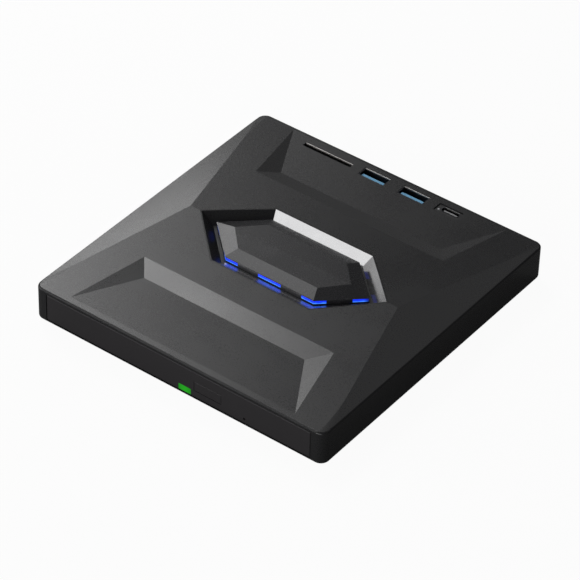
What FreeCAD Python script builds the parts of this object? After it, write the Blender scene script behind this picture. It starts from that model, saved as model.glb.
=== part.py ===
import FreeCAD, Part
import math
import operator
import os
from types import SimpleNamespace

import Sketcher
from FreeCAD import Placement, Rotation, Vector

# External disc drive: a slim tray drive and a small card and USB hub in one moulded housing.
# Millimetres. X runs to the right seen from the front, Y to the back, Z up.
# The origin is on the table under the middle of the housing, with the tray closed.

SIZES = {
    # Housing: its width and depth are sums, from the disc's well outwards
    "side_pillar": 6.5,
    "hub_strip": 20.2,
    "foot_drop": 1.0,
    "lintel": 1.5,
    "roof_rise": 4.8,
    "side_facet_run": 20.2,
    "corner_round": 4.0,
    "eave_round": 1.0,
    "base_round": 1.2,
    "wall": 2.0,
    "roof_wall": 2.0,
    "bottom_wall": 1.2,
    "screen_wall": 1.2,
    "hold_down_radius": 2.5,
    "panel_gap": 0.3,
    "fit_gap": 0.15,
    "touch_gap": 0.05,
    # Scoops in the roof, from the housing's sides and from its front and back edges
    "scoop_side": 24.9,
    "front_scoop_inset": 39.8,
    "front_floor_inset": 30.5,
    "front_floor_side": 32.4,
    "front_scoop_depth": 0.85,
    "front_tip_inset": 3.5,
    "front_tip_side": 16.5,
    "rear_scoop_inset": 38.0,
    "rear_floor_inset": 29.7,
    "rear_floor_side": 31.8,
    "rear_scoop_depth": 1.85,
    "rear_tip_inset": 1.8,
    "rear_tip_side": 17.6,
    "thick_roof_inset": 32.0,
    "rear_ceiling_drop": 1.7,
    # Emblem: a raised six-sided cap, and round it a recess with a bright surround
    "cap_tip": 39.2,
    "cap_corner_x": 22.5,
    "cap_corner_y": 15.6,
    "cap_lift": 2.9,
    "cap_height": 2.1,
    "crown_tip_inset": 9.5,
    "crown_corner_inset": 2.3,
    "crown_edge_inset": 5.55,
    "crown_drop": 0.35,
    "ditch_tip": 1.7,
    "ditch_corner": 0.6,
    "ditch_edge": 1.55,
    "recess_rim": 0.4,
    "recess_depth": 4.9,
    "recess_tip_run": 6.8,
    "recess_corner_run": 1.9,
    "recess_edge_run": 4.75,
    "surround_floor": 1.0,
    "surround_ledge": 3.4,
    "collar_wall": 1.6,
    "collar_ledge": 1.0,
    "mask_inset": 0.2,
    "mask_wall": 0.8,
    "guide_wall": 1.4,
    "window_height": 1.6,
    "window_sill": 0.6,
    "side_window": 11.6,
    "corner_window_inset": 6.3,
    "corner_window_edge": 4.2,
    "tip_window_inset": 5.4,
    "tip_window_half": 4.6,
    "led_board_rim": 1.2,
    "led_size": 1.6,
    "led_height": 0.5,
    "led_corner_step": 2.0,
    "led_screw_x": 16.0,
    "led_screw_rim": 0.9,
    "led_screw_hole": 0.65,
    "led_tab_radius": 1.8,
    # Feet and case screws
    "foot_radius": 5.0,
    "foot_recess": 0.5,
    "foot_bevel": 0.6,
    "foot_side": 16.0,
    "foot_inset": 13.0,
    "case_screw_side": 5.2,
    "case_screw_front": 16.0,
    "case_screw_back": 8.0,
    "screw_radius": 1.0,
    "screw_head_radius": 2.0,
    "screw_head_height": 0.9,
    "screw_length": 7.0,
    "boss_radius": 2.6,
    "screw_boss_height": 1.0,
    # Hub board and its sockets
    "hub_board_side": 14.0,
    "hub_board_gap": 1.6,
    "hub_board_inset": 2.6,
    "hub_board_lift": 2.4,
    "hub_screw_inset": 5.0,
    "hub_screw_forward": 3.0,
    "hub_screw_radius": 0.8,
    "hub_screw_head": 1.8,
    "hub_screw_length": 3.2,
    "board_thickness": 1.2,
    "thin_board": 0.8,
    "chip_height": 0.9,
    "port_inset": 6.95,
    "card_x": -33.2,
    "card_slot_width": 25.0,
    "card_slot_depth": 2.8,
    "card_socket_width": 28.5,
    "card_socket_depth": 4.6,
    "usb_left_x": -8.75,
    "usb_right_x": 11.55,
    "usb_inside_width": 12.5,
    "usb_inside_depth": 5.1,
    "usb_shell_wall": 0.3,
    "usb_tongue_width": 11.1,
    "usb_tongue_depth": 1.85,
    "usb_tongue_offset": 0.4,
    "usb_tongue_drop": 0.8,
    "c_window_width": 11.7,
    "c_window_depth": 5.1,
    "c_window_x": 29.35,
    "c_shell_x": 30.2,
    "c_shell_back": 0.45,
    "c_shell_width": 8.94,
    "c_shell_depth": 3.26,
    "c_shell_wall": 0.3,
    "c_tongue_width": 6.6,
    "c_tongue_depth": 0.7,
    "port_light_x": 24.9,
    "port_light_forward": 0.75,
    "port_light_radius": 0.45,
    "hub_chip": 6.8,
    "hub_chip_x": -12.0,
    "light_chip": 6.0,
    "light_chip_x": 8.0,
    "clock_x": 20.0,
    "clock_width": 3.2,
    "clock_depth": 2.5,
    "can_height": 3.2,
    "large_can_x": 44.0,
    "large_can_radius": 2.4,
    "small_can_x": 0.5,
    "small_can_radius": 2.0,
    # Slim drive chassis
    "drive_height": 9.5,
    "drive_front_gap": 0.5,
    "drive_pad": 0.3,
    "pad_size": 12.0,
    "pad_side": 13.5,
    "pad_front": 21.5,
    "pad_back": 15.8,
    "stop_front": 31.5,
    "stop_back": 25.8,
    "stop_length": 8.0,
    "stop_height": 6.0,
    "base_sheet": 0.6,
    "lid_sheet": 0.4,
    "lid_flange": 4.5,
    "lid_press": 0.15,
    "lid_press_inset": 4.6,
    "lid_boss_radius": 16.0,
    "side_stop": 1.6,
    "drive_board_side": 6.5,
    "drive_board_right": 28.0,
    "drive_board_front": 29.5,
    "drive_board_inset": 1.4,
    "drive_boss_radius": 2.0,
    "drive_boss_step": 5.0,
    "drive_boss_right": 6.0,
    "large_chip": 12.0,
    "large_chip_height": 1.0,
    "large_chip_side": 13.0,
    "large_chip_step": 7.0,
    "motor_chip_width": 9.0,
    "motor_chip_depth": 7.0,
    "motor_chip_side": 33.0,
    "motor_chip_step": 11.0,
    "memory_chip_width": 8.0,
    "memory_chip_depth": 6.0,
    "memory_chip_step": 13.0,
    "flex_socket_half": 7.0,
    "flex_socket_step": 2.0,
    "flex_socket_depth": 3.4,
    "flex_socket_height": 1.6,
    "connector_side": 13.5,
    "connector_width": 26.0,
    "connector_depth": 4.2,
    "connector_height": 4.0,
    "connector_wall": 0.8,
    "plug_side": 1.0,
    "plug_reach": 2.5,
    "plug_height": 1.1,
    "flex_half": 6.0,
    "flex_sheet": 0.15,
    "flex_bend": 0.8,
    "flex_bend_inset": 9.8,
    # Slide rails
    "guide_sheet": 0.5,
    "guide_low": 1.65,
    "guide_height": 4.3,
    "guide_depth": 1.8,
    "guide_return": 0.45,
    "rail_flange": 0.5,
    "rail_gap": 0.2,
    "rail_neck_step": 0.4,
    "rail_reach": 2.0,
    "rail_front_inset": 1.5,
    "rail_back_inset": 11.8,
    "tongue_height": 0.7,
    # Tray
    "bezel_overhang": 3.0,
    "bezel_height": 12.7,
    "bezel_depth": 4.0,
    "bezel_wall": 1.8,
    "bezel_rim": 1.2,
    "bezel_round": 0.4,
    "well_break": 0.5,
    "rail_space": 3.4,
    "tray_wing": 1.5,
    "tray_end_gap": 4.8,
    "tray_arm": 3.0,
    "tray_rim_height": 7.9,
    "well_floor_height": 5.8,
    "tray_floor": 1.2,
    "tray_front_wall": 1.5,
    "tray_skirt_height": 1.4,
    "tray_skirt": 1.7,
    "tray_wing_drop": 1.8,
    "well_radius": 60.6,
    "well_wall": 0.9,
    "small_well_radius": 40.5,
    "small_well_depth": 0.4,
    "finger_radius": 9.0,
    "finger_side": 0.4,
    "finger_inset": 14.6,
    "tray_board_left": 2.0,
    "tray_board_right": 50.0,
    "tray_board_depth": 11.9,
    "tray_post_radius": 1.6,
    "tray_post_left": 7.0,
    "tray_post_right": 4.0,
    "tray_post_step": 9.5,
    "button_left": 9.5,
    "button_right": 22.9,
    "button_low": 5.85,
    "button_high": 10.3,
    "button_gap": 0.15,
    "button_stem": 2.0,
    "button_travel": 0.6,
    "light_left": 1.7,
    "light_right": 7.9,
    "light_low": 2.85,
    "light_high": 5.6,
    "rescue_hole_x": 34.5,
    "rescue_hole_z": 4.6,
    "rescue_hole_radius": 0.6,
    # Traverse, laid out along its own line from the spindle and then turned
    "traverse_angle": 225.0,
    "traverse_inner": 14.0,
    "traverse_beyond": 7.0,
    "traverse_half": 17.6,
    "frame_inner": 20.0,
    "frame_beyond": 4.4,
    "frame_margin": 3.6,
    "frame_end_half": 16.0,
    "frame_sheet": 0.8,
    "frame_lift": 0.5,
    "rod_lift": 1.7,
    "rod_radius": 1.0,
    "rod_v": 15.2,
    "screw_v": 21.0,
    "lead_screw_radius": 1.1,
    "lead_screw_short": 2.6,
    "sled_motor_radius": 2.2,
    "sled_motor_length": 13.0,
    "sled_motor_start": -10.0,
    "park_radius": 24.0,
    "sled_half": 8.5,
    "sled_height": 3.3,
    "lens_radius": 2.4,
    "magnet_length": 6.0,
    "magnet_inner": 5.0,
    "magnet_depth": 1.6,
    "shield_sheet": 0.3,
    "shield_slot_half": 9.0,
    # Spindle
    "motor_radius": 13.0,
    "bearing_radius": 3.0,
    "stator_radius": 6.5,
    "pole_half": 1.1,
    "shaft_radius": 1.0,
    "shaft_gap": 0.03,
    "turntable_radius": 14.2,
    "disc_seat_height": 6.5,
    "hub_radius": 7.4,
    "hub_height": 1.5,
    "ball_radius": 0.8,
    "ball_gap": 0.06,
    # Latch and ejector
    "latch_post_side": 10.5,
    "latch_post_inset": 11.8,
    "latch_post_radius": 1.1,
    "latch_post_height": 3.9,
    "latch_post_foot": 0.5,
    "latch_post_flange": 1.2,
    "latch_reach_x": 5.0,
    "latch_reach_y": 10.0,
    "latch_angle": 16.0,
    "latch_plate": 1.2,
    "latch_hub_radius": 2.2,
    "armature_side": 3.2,
    "armature_overlap": 1.0,
    "armature_length": 5.0,
    "pin_radius": 0.95,
    "coil_far": 16.5,
    "coil_near": 7.2,
    "coil_length": 7.0,
    "yoke_wall": 0.6,
    "ejector_side": 6.1,
    "ejector_radius": 1.2,
    "ejector_length": 13.0,
    "spring_seat": 9.0,
    "spring_wire": 0.4,
}

doc = FreeCAD.newDocument("external_disc_drive")
sheet = doc.addObject("Spreadsheet::Sheet", "sizes")
for row, (alias, number) in enumerate(SIZES.items(), 1):
    sheet.set(f"A{row}", alias)
    sheet.set(f"B{row}", str(number))
    sheet.setAlias(f"B{row}", alias)
doc.recompute()

OPERATIONS = {"+": operator.add, "-": operator.sub, "*": operator.mul, "/": operator.truediv}


class Size:
    """A length: its value now, and the sheet formula that binds a feature to it."""

    def __init__(self, value, formula):
        self.value = value
        self.formula = formula

    def __add__(self, other):
        return combined(self, "+", other)

    def __radd__(self, other):
        return combined(other, "+", self)

    def __sub__(self, other):
        return combined(self, "-", other)

    def __rsub__(self, other):
        return combined(other, "-", self)

    def __mul__(self, other):
        return combined(self, "*", other)

    def __rmul__(self, other):
        return combined(other, "*", self)

    def __truediv__(self, other):
        return combined(self, "/", other)

    def __neg__(self):
        return combined(0, "-", self)

    def __float__(self):
        return float(self.value)


def size(value):
    """A plain number, or a Size, as a Size."""
    return value if isinstance(value, Size) else Size(float(value), f"({float(value):.6f})")


def combined(left, sign, right):
    left, right = size(left), size(right)
    return Size(OPERATIONS[sign](left.value, right.value), f"({left.formula} {sign} {right.formula})")


S = SimpleNamespace(**{alias: Size(number, f"sizes.{alias}") for alias, number in SIZES.items()})

ALONG = {"x": Rotation(Vector(0, 1, 0), 90), "y": Rotation(Vector(1, 0, 0), -90), "z": Rotation()}
# A sketch drawn in the plane across an axis: (y, z) across X, (x, z) across Y, (x, y) across Z.
ACROSS = {"x": Rotation(Vector(1, 1, 1), 120), "y": Rotation(Vector(1, 0, 0), 90), "z": Rotation()}


def bind(thing, prop, value):
    thing.setExpression(prop, size(value).formula)


def place(thing, x, y, z):
    for letter, value in zip("xyz", (x, y, z)):
        bind(thing, f"Placement.Base.{letter}", value)
    return thing


def both(value):
    """The two ends of a length centred on zero, from half of it."""
    return (-value, value)


def around(middle, length):
    return (middle - length / 2, middle + length / 2)


def mirrored(side, inner, outer):
    """A span on the positive side of zero, or its mirror."""
    return (inner, outer) if side > 0 else (-outer, -inner)


def box(x, y, z):
    """A block between two values along each axis."""
    solid = doc.addObject("Part::Box", "block")
    for prop, (low, high) in (("Length", x), ("Width", y), ("Height", z)):
        bind(solid, prop, high - low)
    return place(solid, x[0], y[0], z[0])


def rod(axis, centre, span, radius):
    """A cylinder along an axis; centre holds its two other coordinates in X, Y, Z order."""
    solid = doc.addObject("Part::Cylinder", "rod")
    bind(solid, "Radius", radius)
    bind(solid, "Height", span[1] - span[0])
    solid.Placement = Placement(Vector(), ALONG[axis])
    start = list(centre)
    start.insert("xyz".index(axis), span[0])
    return place(solid, *start)


def cone(centre, span, low_radius, high_radius):
    solid = doc.addObject("Part::Cone", "cone")
    bind(solid, "Radius1", low_radius)
    bind(solid, "Radius2", high_radius)
    bind(solid, "Height", span[1] - span[0])
    return place(solid, centre[0], centre[1], span[0])


def outline(axis, points, level):
    """A closed sketch across an axis, every corner of it held by the sheet."""
    sketch = doc.addObject("Sketcher::SketchObject", "outline")
    corners = [Vector(float(a), float(b), 0) for a, b in points]
    count = len(corners)
    for i in range(count):
        sketch.addGeometry(Part.LineSegment(corners[i], corners[(i + 1) % count]), False)
    for i in range(count):
        sketch.addConstraint(Sketcher.Constraint("Coincident", i, 2, (i + 1) % count, 1))
    for i, (a, b) in enumerate(points):
        for kind, value in (("DistanceX", a), ("DistanceY", b)):
            index = sketch.addConstraint(Sketcher.Constraint(kind, -1, 1, i, 1, float(value)))
            bind(sketch, f"Constraints[{index}]", value)
    sketch.Placement = Placement(Vector(), ACROSS[axis])
    bind(sketch, f"Placement.Base.{axis}", level)
    return sketch


def prism(axis, points, span):
    """The outline pushed along an axis from one end of the span to the other."""
    # Across Y the sketch faces the front, so there it starts from the far end.
    solid = doc.addObject("Part::Extrusion", "prism")
    solid.Base = outline(axis, points, span[1] if axis == "y" else span[0])
    solid.DirMode = "Normal"
    solid.Solid = True
    bind(solid, "LengthFwd", span[1] - span[0])
    return solid


def loft(low_points, low, high_points, high):
    solid = doc.addObject("Part::Loft", "loft")
    solid.Sections = [outline("z", low_points, low), outline("z", high_points, high)]
    solid.Solid = True
    solid.Ruled = True
    return solid


def joined(*solids):
    whole = doc.addObject("Part::MultiFuse", "joined")
    whole.Shapes = list(solids)
    whole.Refine = True
    return whole


def shared(*solids):
    whole = doc.addObject("Part::MultiCommon", "shared")
    whole.Shapes = list(solids)
    whole.Refine = True
    return whole


def cut(base, *tools):
    whole = doc.addObject("Part::Cut", "cut")
    whole.Base = base
    whole.Tool = tools[0] if len(tools) == 1 else joined(*tools)
    whole.Refine = True
    return whole


def group(*solids):
    whole = doc.addObject("Part::Compound", "group")
    whole.Links = list(solids)
    return whole


def rounded(solid, radius, wanted):
    """Round the edges that the test picks."""
    doc.recompute()
    feature = doc.addObject("Part::Fillet", "rounded")
    feature.Base = solid
    value = float(radius)
    edges = enumerate(solid.Shape.Edges, 1)
    feature.Edges = [(index, value, value) for index, edge in edges if wanted(edge)]
    return feature


def upright(edge):
    return abs(edge.tangentAt(edge.FirstParameter).z) > 0.999


def level_with(height):
    def wanted(edge):
        box_of_edge = edge.BoundBox
        return abs(box_of_edge.ZMin - float(height)) < 1e-3 and abs(box_of_edge.ZMax - float(height)) < 1e-3

    return wanted


def lengthwise(edge):
    return abs(edge.tangentAt(edge.FirstParameter).y) > 0.999


def round_box(x, y, z, radius, wanted=upright):
    """A block with rounded upright edges, or with others that the test picks."""
    return rounded(box(x, y, z), radius, wanted)


def hexagon(tip, corner_x, corner_y):
    """A long hexagon: a tip at each end, and two corners along the front and the back."""
    return [
        (-tip, 0),
        (-corner_x, -corner_y),
        (corner_x, -corner_y),
        (tip, 0),
        (corner_x, corner_y),
        (-corner_x, corner_y),
    ]


def formed(shape):
    """A shape worked out here, where no feature fits it."""
    feature = doc.addObject("Part::Feature", "formed")
    feature.Shape = shape
    return feature


NODES = {}


def node(name, solid):
    solid.Label = name
    NODES[name] = solid
    return solid


# Places across and along the housing, from the disc's well outwards

tray_half = S.well_radius - S.well_break
drive_half = tray_half + S.rail_space
bezel_half = drive_half + S.bezel_overhang
half_width = bezel_half + S.side_pillar
ridge_half = half_width - S.side_facet_run

tray_depth = (S.well_radius + S.well_wall) * 2
half_depth = (S.bezel_depth + tray_depth + S.tray_end_gap + S.hub_strip) / 2
bezel_front = -half_depth
tray_front = bezel_front + S.bezel_depth
tray_back = tray_front + tray_depth
drive_front = tray_front + S.drive_front_gap
drive_back = tray_back + S.tray_end_gap
hub_front = drive_back + S.hub_board_gap
hub_back = half_depth - S.hub_board_inset
port_y = half_depth - S.port_inset
spindle = (0, tray_front + S.well_wall + S.well_radius)

recess_foot = (S.cap_tip + S.ditch_tip, S.cap_corner_x + S.ditch_corner, S.cap_corner_y + S.ditch_edge)
recess_tip = recess_foot[0] + S.recess_tip_run
recess_corner_x = recess_foot[1] + S.recess_corner_run
recess_corner_y = recess_foot[2] + S.recess_edge_run


# Levels

underside = S.foot_drop
bottom_top = underside + S.bottom_wall
drive_floor = bottom_top + S.drive_pad
drive_top = drive_floor + S.drive_height
opening_top = drive_floor + S.bezel_height + S.panel_gap
eave = opening_top + S.lintel
ridge = eave + S.roof_rise
recess_floor = ridge - S.recess_depth
cap_base = recess_floor + S.cap_lift
rear_floor = ridge - S.roof_rise * (half_depth - S.rear_floor_inset) / half_depth - S.rear_scoop_depth
led_board_top = recess_floor - S.surround_floor - S.collar_ledge
led_board_low = led_board_top - S.thin_board


# Housing


def hip_roof(drop, low):
    """The housing's block up to its hipped roof, lowered by a drop."""
    roof = doc.addObject("Part::Wedge", "roof")
    bind(roof, "Xmin", -half_width)
    bind(roof, "Xmax", half_width)
    bind(roof, "Zmin", -half_depth)
    bind(roof, "Zmax", half_depth)
    bind(roof, "Ymin", 0)
    bind(roof, "Ymax", S.roof_rise)
    bind(roof, "X2min", -ridge_half)
    bind(roof, "X2max", ridge_half)
    bind(roof, "Z2min", 0)
    bind(roof, "Z2max", 0)
    roof.Placement = Placement(Vector(), ACROSS["y"])
    bind(roof, "Placement.Base.z", eave - drop)
    return joined(roof, box(both(half_width), both(half_depth), (low, eave - drop)))


def round_loop(half_x, half_y, radius, z):
    """A rectangle with round corners, as a wire."""
    edges = []
    corners = []
    middles = [(1, 1, 0), (-1, 1, 90), (-1, -1, 180), (1, -1, 270)]
    for sign_x, sign_y, start in middles:
        centre = Vector(sign_x * (half_x - radius), sign_y * (half_y - radius), z)
        angles = [math.radians(start + turn) for turn in (0, 45, 90)]
        corners.append([centre + Vector(math.cos(a), math.sin(a), 0) * radius for a in angles])
    for i, arc in enumerate(corners):
        edges.append(Part.Arc(*arc).toShape())
        edges.append(Part.LineSegment(arc[2], corners[(i + 1) % 4][0]).toShape())
    return Part.Wire(edges)


def rounded_body():
    """The housing's round corners, its rounded eaves and its rounded bottom edge.

    Above the eaves its sides lean in just less than the roof, so only the rounding shows."""
    side_slope = float(S.roof_rise / S.side_facet_run) * 1.05
    end_slope = float(S.roof_rise / half_depth) * 1.1
    rise = float(S.roof_rise) + 0.2
    x, y, base, top = float(half_width), float(half_depth), float(underside), float(eave)
    corner = float(S.corner_round)
    block = Part.Face(round_loop(x, y, corner, base)).extrude(Vector(0, 0, top - base))
    upper = round_loop(x - rise / side_slope, y - rise / end_slope, corner / 8, top + rise)
    body = block.fuse(Part.makeLoft([round_loop(x, y, corner, top), upper], True, True)).removeSplitter()
    body = body.makeFillet(float(S.eave_round), [e for e in body.Edges if level_with(eave)(e)])
    body = body.makeFillet(float(S.base_round), [e for e in body.Edges if level_with(underside)(e)])
    return formed(body)


def roof_height(y):
    return float(ridge) - float(S.roof_rise) * abs(y) / float(half_depth)


def scoop(side, crest_at, floor_at, tip_at, depth):
    """The space above a scoop's sloping floor, back wall and two tapering side walls.

    side is -1 for the front of the roof and 1 for the back. Its crest, its floor and its tip are
    each a pair: how far in from the housing's front or back edge, and from its sides."""
    foot, crest, tip = [
        Vector(float(half_width - from_side), float(half_depth - from_edge), 0)
        for from_edge, from_side in (floor_at, crest_at, tip_at)
    ]
    for point in (foot, crest, tip):
        point.z = roof_height(point.y)
        point.y *= side
    foot.z -= float(depth)
    crest = foot + (crest - foot) * 1.4
    tip = foot + (tip - foot) * 1.4
    right = [foot, crest, tip]
    left = [Vector(-p.x, p.y, p.z) for p in right]
    loops = [
        [right[0], left[0], left[1], right[1]],
        [right[0], left[0], left[2], right[2]],
        [right[1], left[1], left[2], right[2]],
        right,
        left,
    ]
    faces = [Part.Face(Part.makePolygon(loop + [loop[0]])) for loop in loops]
    solid = Part.makeSolid(Part.makeShell(faces))
    if solid.Volume < 0:
        solid.reverse()
    return formed(solid)


def recess_loft():
    """The emblem's recess: six walls from its foot to the rim that follows the roof."""
    rim_tip = recess_tip - S.recess_rim
    rim_x = recess_corner_x - S.recess_rim / 2
    rim_y = recess_corner_y - S.recess_rim
    corner_top = ridge - S.roof_rise * recess_corner_y / half_depth
    top = ridge + 0.5
    corner_run = (top - recess_floor) / (corner_top - recess_floor)
    tip_run = (top - recess_floor) / S.recess_depth
    foot_tip, foot_x, foot_y = recess_foot
    mouth = hexagon(
        foot_tip + (rim_tip - foot_tip) * tip_run,
        foot_x + (rim_x - foot_x) * corner_run,
        foot_y + (rim_y - foot_y) * corner_run,
    )
    return loft(hexagon(*recess_foot), recess_floor, mouth, top)


def hexagon_grown(by):
    """The recess's outline, larger all round."""
    return hexagon(recess_tip + by * 1.4, recess_corner_x + by * 0.45, recess_corner_y + by)



def four_places(x, front_y, back_y):
    return [(x * side, y) for side in (-1, 1) for y in (front_y, back_y)]


led_screw_y = recess_corner_y - S.led_screw_rim
led_screw_places = four_places(S.led_screw_x, -led_screw_y, led_screw_y)
case_screw_places = four_places(
    half_width - S.case_screw_side, S.case_screw_front - half_depth, half_depth - S.case_screw_back
)
foot_places = four_places(half_width - S.foot_side, S.foot_inset - half_depth, half_depth - S.foot_inset)
pad_places = four_places(drive_half - S.pad_side, drive_front + S.pad_front, drive_back - S.pad_back)
boss_low = bottom_top + S.screw_boss_height + S.fit_gap
head_seat = underside + S.screw_head_height + 0.1
sky = ridge + 3
rounded_shell = rounded_body()
outside = shared(hip_roof(0, underside), rounded_shell)

usb_outer_width = S.usb_inside_width + S.usb_shell_wall * 2
usb_outer_depth = S.usb_inside_depth + S.usb_shell_wall * 2
usb_places = {"left": S.usb_left_x, "right": S.usb_right_x}
rear_ceiling = rear_floor - S.rear_ceiling_drop


def port_windows():
    through = (rear_ceiling - 1, rear_floor + 2)
    gap = S.fit_gap * 2
    windows = [
        box(around(x, usb_outer_width + gap), around(port_y, usb_outer_depth + gap), through)
        for x in usb_places.values()
    ]
    windows.append(box(around(S.card_x, S.card_slot_width), around(port_y, S.card_slot_depth), through))
    c_span = around(S.c_window_x, S.c_window_width + gap)
    windows.append(round_box(c_span, around(port_y, S.c_window_depth + gap), through, 0.6))
    return windows


def build_top_cover():
    inner_x = half_width - S.wall
    inner_y = half_depth - S.wall
    opening_half = bezel_half + S.panel_gap
    below = underside - 1
    thick_roof_y = half_depth - S.thick_roof_inset
    low_hall = round_box(both(inner_x), both(inner_y), (below, rear_ceiling), S.corner_round - S.wall)
    high_hall = shared(
        hip_roof(S.roof_wall, below), box(both(inner_x), both(thick_roof_y), (below, ridge))
    )
    mouth = box(both(opening_half), (-half_depth - 1, -inner_y + 1), (below, opening_top))
    shell = cut(outside, joined(low_hall, high_hall, mouth))
    collar = shared(
        prism("z", hexagon_grown(S.collar_wall), (led_board_top, sky)), outside
    )
    chassis_half = drive_half + S.lid_sheet + S.panel_gap
    screen_y = (drive_front, drive_front + S.screen_wall)
    screen = box(both(inner_x + 0.5), screen_y, (bottom_top + S.fit_gap, opening_top + 0.5))
    chassis_way = box(
        both(chassis_half), (screen_y[0] - 1, screen_y[1] + 1), (below, drive_top + S.panel_gap)
    )
    bosses = [rod("z", at, (boss_low, rear_ceiling + 0.5), S.boss_radius) for at in case_screw_places]
    holes = [
        rod("z", at, (below, boss_low + S.screw_length), S.screw_radius + S.touch_gap)
        for at in case_screw_places
    ]
    holes += [rod("z", at, (below, led_board_top + 0.9), S.led_screw_hole) for at in led_screw_places]
    hold_downs = [rod("z", at, (drive_top, rear_ceiling + 1), S.hold_down_radius) for at in pad_places]
    surround_hole = prism("z", hexagon_grown(S.fit_gap), (recess_floor - S.surround_floor, sky))
    ledge_hole = prism("z", hexagon_grown(-S.surround_ledge), (below, sky))
    scoops = [
        scoop(
            -1,
            (S.front_scoop_inset, S.scoop_side),
            (S.front_floor_inset, S.front_floor_side),
            (S.front_tip_inset, S.front_tip_side),
            S.front_scoop_depth,
        ),
        scoop(
            1,
            (S.rear_scoop_inset, S.scoop_side),
            (S.rear_floor_inset, S.rear_floor_side),
            (S.rear_tip_inset, S.rear_tip_side),
            S.rear_scoop_depth,
        ),
    ]
    cover = joined(shell, collar, cut(screen, chassis_way), *bosses, *hold_downs)
    return cut(cover, surround_hole, ledge_hole, *holes, *scoops, *port_windows())


def build_bottom_cover():
    inner_x = half_width - S.wall - S.fit_gap
    inner_y = half_depth - S.wall - S.fit_gap
    front_half = bezel_half + S.panel_gap - S.fit_gap
    plate = round_box(both(inner_x), both(inner_y), (underside, bottom_top), S.corner_round - S.wall)
    strip = box(both(front_half), (-half_depth, -inner_y + 4), (underside, bottom_top))
    pads = [
        box(around(x, S.pad_size), around(y, S.pad_size), (bottom_top - 0.5, drive_floor))
        for x, y in pad_places
    ]
    stop_x = drive_half + S.lid_sheet + S.touch_gap
    stop_z = (bottom_top - 0.5, drive_floor + S.stop_height)
    stops = [
        box(mirrored(side, stop_x, stop_x + S.side_stop), around(y, S.stop_length), stop_z)
        for side in (-1, 1)
        for y in (drive_front + S.stop_front, drive_back - S.stop_back)
    ]
    boss_top = boss_low - S.fit_gap
    bosses = [rod("z", at, (underside, boss_top), S.boss_radius) for at in case_screw_places]
    posts = [
        rod("z", at, (bottom_top - 0.5, bottom_top + S.hub_board_lift), 2.2) for at in hub_screw_places
    ]
    cuts = [rod("z", at, (underside - 1, head_seat), S.screw_head_radius + 0.2) for at in case_screw_places]
    cuts += [rod("z", at, (underside, boss_top + 1), S.screw_radius + 0.2) for at in case_screw_places]
    cuts += [
        rod("z", at, (underside - 1, underside + S.foot_recess), S.foot_radius + 0.1) for at in foot_places
    ]
    cuts += [
        rod("z", at, (bottom_top + 0.2, bottom_top + 4), S.hub_screw_radius + S.touch_gap)
        for at in hub_screw_places
    ]
    solid = shared(joined(plate, strip), rounded_shell)
    return cut(joined(solid, *pads, *stops, *bosses, *posts), *cuts)


def screw(at, under_head, head, length, shaft_radius, head_radius, down=False):
    """A screw with its head below its shaft, or above it where it points down."""
    if down:
        shaft = rod("z", at, (under_head - length, under_head), shaft_radius)
        top = rod("z", at, (under_head, under_head + head), head_radius)
        slot_z = (under_head + head * 0.5, under_head + head + 1)
    else:
        shaft = rod("z", at, (under_head, under_head + length), shaft_radius)
        top = rod("z", at, (under_head - head, under_head), head_radius)
        slot_z = (under_head - head - 1, under_head - head * 0.5)
    x, y = at
    arm = head_radius * 1.1
    cross = [
        box(around(x, arm), around(y, head_radius * 0.3), slot_z),
        box(around(x, head_radius * 0.3), around(y, arm), slot_z),
    ]
    return joined(shaft, cut(top, *cross))


hub_half = half_width - S.hub_board_side
hub_screw_places = [(x, port_y - S.hub_screw_forward) for x in both(hub_half - S.hub_screw_inset)]
hub_low = bottom_top + S.hub_board_lift
hub_top = hub_low + S.board_thickness

node("top_cover", build_top_cover())
node("bottom_cover", build_bottom_cover())
node(
    "case_screws",
    group(
        *[
            screw(
                at, head_seat, S.screw_head_height, S.screw_length, S.screw_radius, S.screw_head_radius
            )
            for at in case_screw_places
        ]
    ),
)
feet = [
    joined(
        rod("z", at, (S.foot_bevel, underside + S.foot_recess), S.foot_radius),
        cone(at, (0, S.foot_bevel), S.foot_radius - 0.5, S.foot_radius),
    )
    for at in foot_places
]
node("rubber_feet", group(*feet))


# Emblem


def mask_outline(inset):
    inset = S.mask_inset + inset
    return hexagon(S.cap_tip - inset * 1.4, S.cap_corner_x - inset * 0.45, S.cap_corner_y - inset)


def light_windows(shrink, depth):
    """Blocks at the six corners and in the middle of both long sides of the light ring."""
    low = recess_floor + S.window_sill + shrink
    z = (low, recess_floor + S.window_sill + S.window_height - shrink)
    blocks = []
    corner_x = S.cap_corner_x - S.corner_window_inset
    for end in (-1, 1):
        side = mirrored(end, S.cap_corner_y - S.corner_window_edge + shrink, S.cap_corner_y + 1)
        blocks.append(box(both(S.side_window / 2 - shrink), side, z))
        for hand in (-1, 1):
            blocks.append(box(mirrored(hand, corner_x + shrink, corner_x + depth - shrink), side, z))
    for hand in (-1, 1):
        tip = mirrored(hand, S.cap_tip - S.tip_window_inset + shrink, S.cap_tip + 1)
        blocks.append(box(tip, both(S.tip_window_half - shrink), z))
    return blocks


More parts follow.
